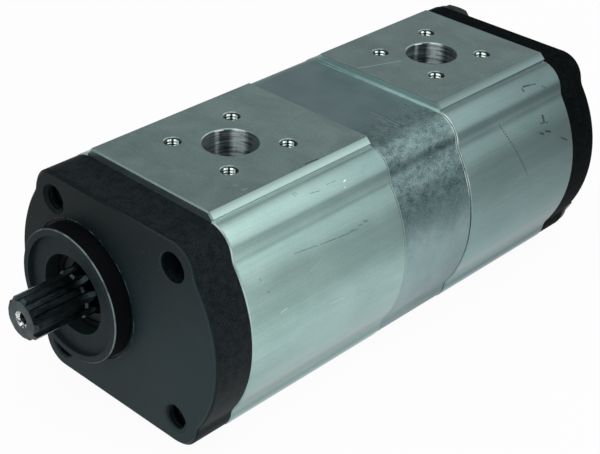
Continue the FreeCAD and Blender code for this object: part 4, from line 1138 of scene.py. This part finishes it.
# %% Port screw threads
M6 = {"outer_mm": 3.0, "depth_mm": 0.5, "pitch_mm": 1.0, "turns": 11, "steps": 28}
THREAD_START_MM = 0.6
UPSIDE_DOWN = (math.pi, 0, 0)
UPRIGHT = (0, 0, 0)

port_thread = wind_thread("port_thread", **M6)
for stage, y in port_y_mm.items():
    for port, side, tilt in (("suction", 1, UPSIDE_DOWN), ("pressure", -1, UPRIGHT)):
        arm = screw_arm_mm(port)
        start = (pad_top_mm - THREAD_START_MM) * side
        copies = []
        for across in (1, -1):
            for along in (1, -1):
                spot = (case_x_mm + arm * across, y + arm * along, start)
                copies.append(copy_to(port_thread, "thread", spot, tilt))
        thread_finish = cut_thread(stage, port)
        join_as(f"{stage}_{port}_threads", copies, "case", thread_finish)
bpy.data.objects.remove(port_thread)

# %% [markdown]
# Two corners of the front cover are tapped for the tie bolts, and their last turns of thread
# show in front of the bolts' ends.

# %% Tie bolt threads in the front cover
M10 = {"outer_mm": 5.0, "depth_mm": 0.75, "pitch_mm": 1.5, "turns": 2, "steps": 36}
LYING_BACK = (-math.pi / 2, 0, 0)

tie_thread = wind_thread("tie_thread", **M10)
copies = []
for side in (1, -1):
    spot = (case_x_mm + BOLT_REACH_MM * side, THREAD_START_MM, -BOLT_REACH_MM * side)
    copies.append(copy_to(tie_thread, "thread", spot, LYING_BACK))
join_as("flange_threads", copies, "case", front_finish)
bpy.data.objects.remove(tie_thread)

# %% [markdown]
# The studio is a white floor, a softly lit room and large soft lamps. Bare metal mostly shows
# what stands around it: the sides of the pump mirror the white floor, and the top mirrors the
# darker upper room, which is why the top looks darker than the sides. The floor glows a little
# for the camera, for mirrors and for glass, and stays a plain matt floor for the light, so it
# is white in the picture without lighting the pump from below, and it still takes the shadow.

# %% Floor
FLOOR_GLOW = 0.95
FLOOR_METRES = 40
FLOOR_BELOW_MM = 0.2
FLOOR_PAINT = (0.88, 0.88, 0.88, 1)
WHITE = (1, 1, 1, 1)

floor_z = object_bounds()[0][2]
bpy.ops.object.select_all(action="DESELECT")
bpy.ops.mesh.primitive_plane_add(
    size=FLOOR_METRES, location=(0, 0, floor_z - FLOOR_BELOW_MM * MM)
)
floor = bpy.context.object
floor.name = "floor"
floor_material = bpy.data.materials.new("white_floor")
paint = Tree(floor_material)
seen = paint.node("ShaderNodeLightPath", output="Is Camera Ray")
for kind in ("Is Glossy Ray", "Is Transmission Ray"):
    seen = seen + paint.node("ShaderNodeLightPath", output=kind)
matt = paint.node("ShaderNodeBsdfDiffuse", sockets={"Color": FLOOR_PAINT})
glow = paint.node("ShaderNodeEmission", sockets={"Color": WHITE, "Strength": 1.0})
blend = paint.node("ShaderNodeMixShader", sockets=(seen.clamp() * FLOOR_GLOW, matt, glow))
paint.plug(blend, "Material Output", "Surface")
floor.data.materials.append(floor_material)
print("floor at", round(floor_z / MM, 1), "mm")

# %% [markdown]
# The room is a world colour that changes with height: pale at the horizon, darker overhead.

# %% Room
HORIZON = (0.48, 0.48, 0.48)
OVERHEAD = (0.36, 0.36, 0.36)
DARKENING = (0.10, 0.45)

world = bpy.data.worlds.new("room")
bpy.context.scene.world = world
room = Tree(world)
height = room.axis(room.node("ShaderNodeTexCoord", output="Generated"), "Z")
room.plug(room.mix(room.between(height, *DARKENING), HORIZON, OVERHEAD), "Background", "Color")
print("the room goes from", HORIZON[0], "at the horizon to", OVERHEAD[0], "overhead")


# %% [markdown]
# A lamp's brightness, as a mirror would show it, is its power over its area. So each lamp here
# is given by that brightness, where 1 is white, and its power is worked out from its size.

# %% Lamps
def soft_lamp(name, towards, distance, size, brightness):
    """A soft box out in a direction from the pump, facing it; distance and size in metres."""
    aim = Vector((case_x_mm, middle("middle_housing", 1), 0)) * MM
    out = Vector(towards).normalized()
    bpy.ops.object.light_add(type="AREA", location=aim + out * distance)
    lamp = bpy.context.object
    lamp.name = name
    lamp.data.shape = "RECTANGLE"
    lamp.data.size, lamp.data.size_y = size
    lamp.data.energy = brightness * math.pi * size[0] * size[1]
    lamp.rotation_euler = out.to_track_quat("Z", "Y").to_euler()
    print(name, "lamp", round(lamp.data.energy, 1), "W")


soft_lamp("key", (0.39, 0.71, 0.57), 1.5, (1.8, 1.42), 1.08)
soft_lamp("front", (-0.45, -1.0, 0.55), 1.7, (1.2, 0.8), 1.0)
soft_lamp("side", (1.0, -0.55, 0.75), 1.7, (1.0, 0.8), 1.2)
soft_lamp("top", (0.22, -0.26, 1.0), 1.6, (1.5, 1.5), 1.1)
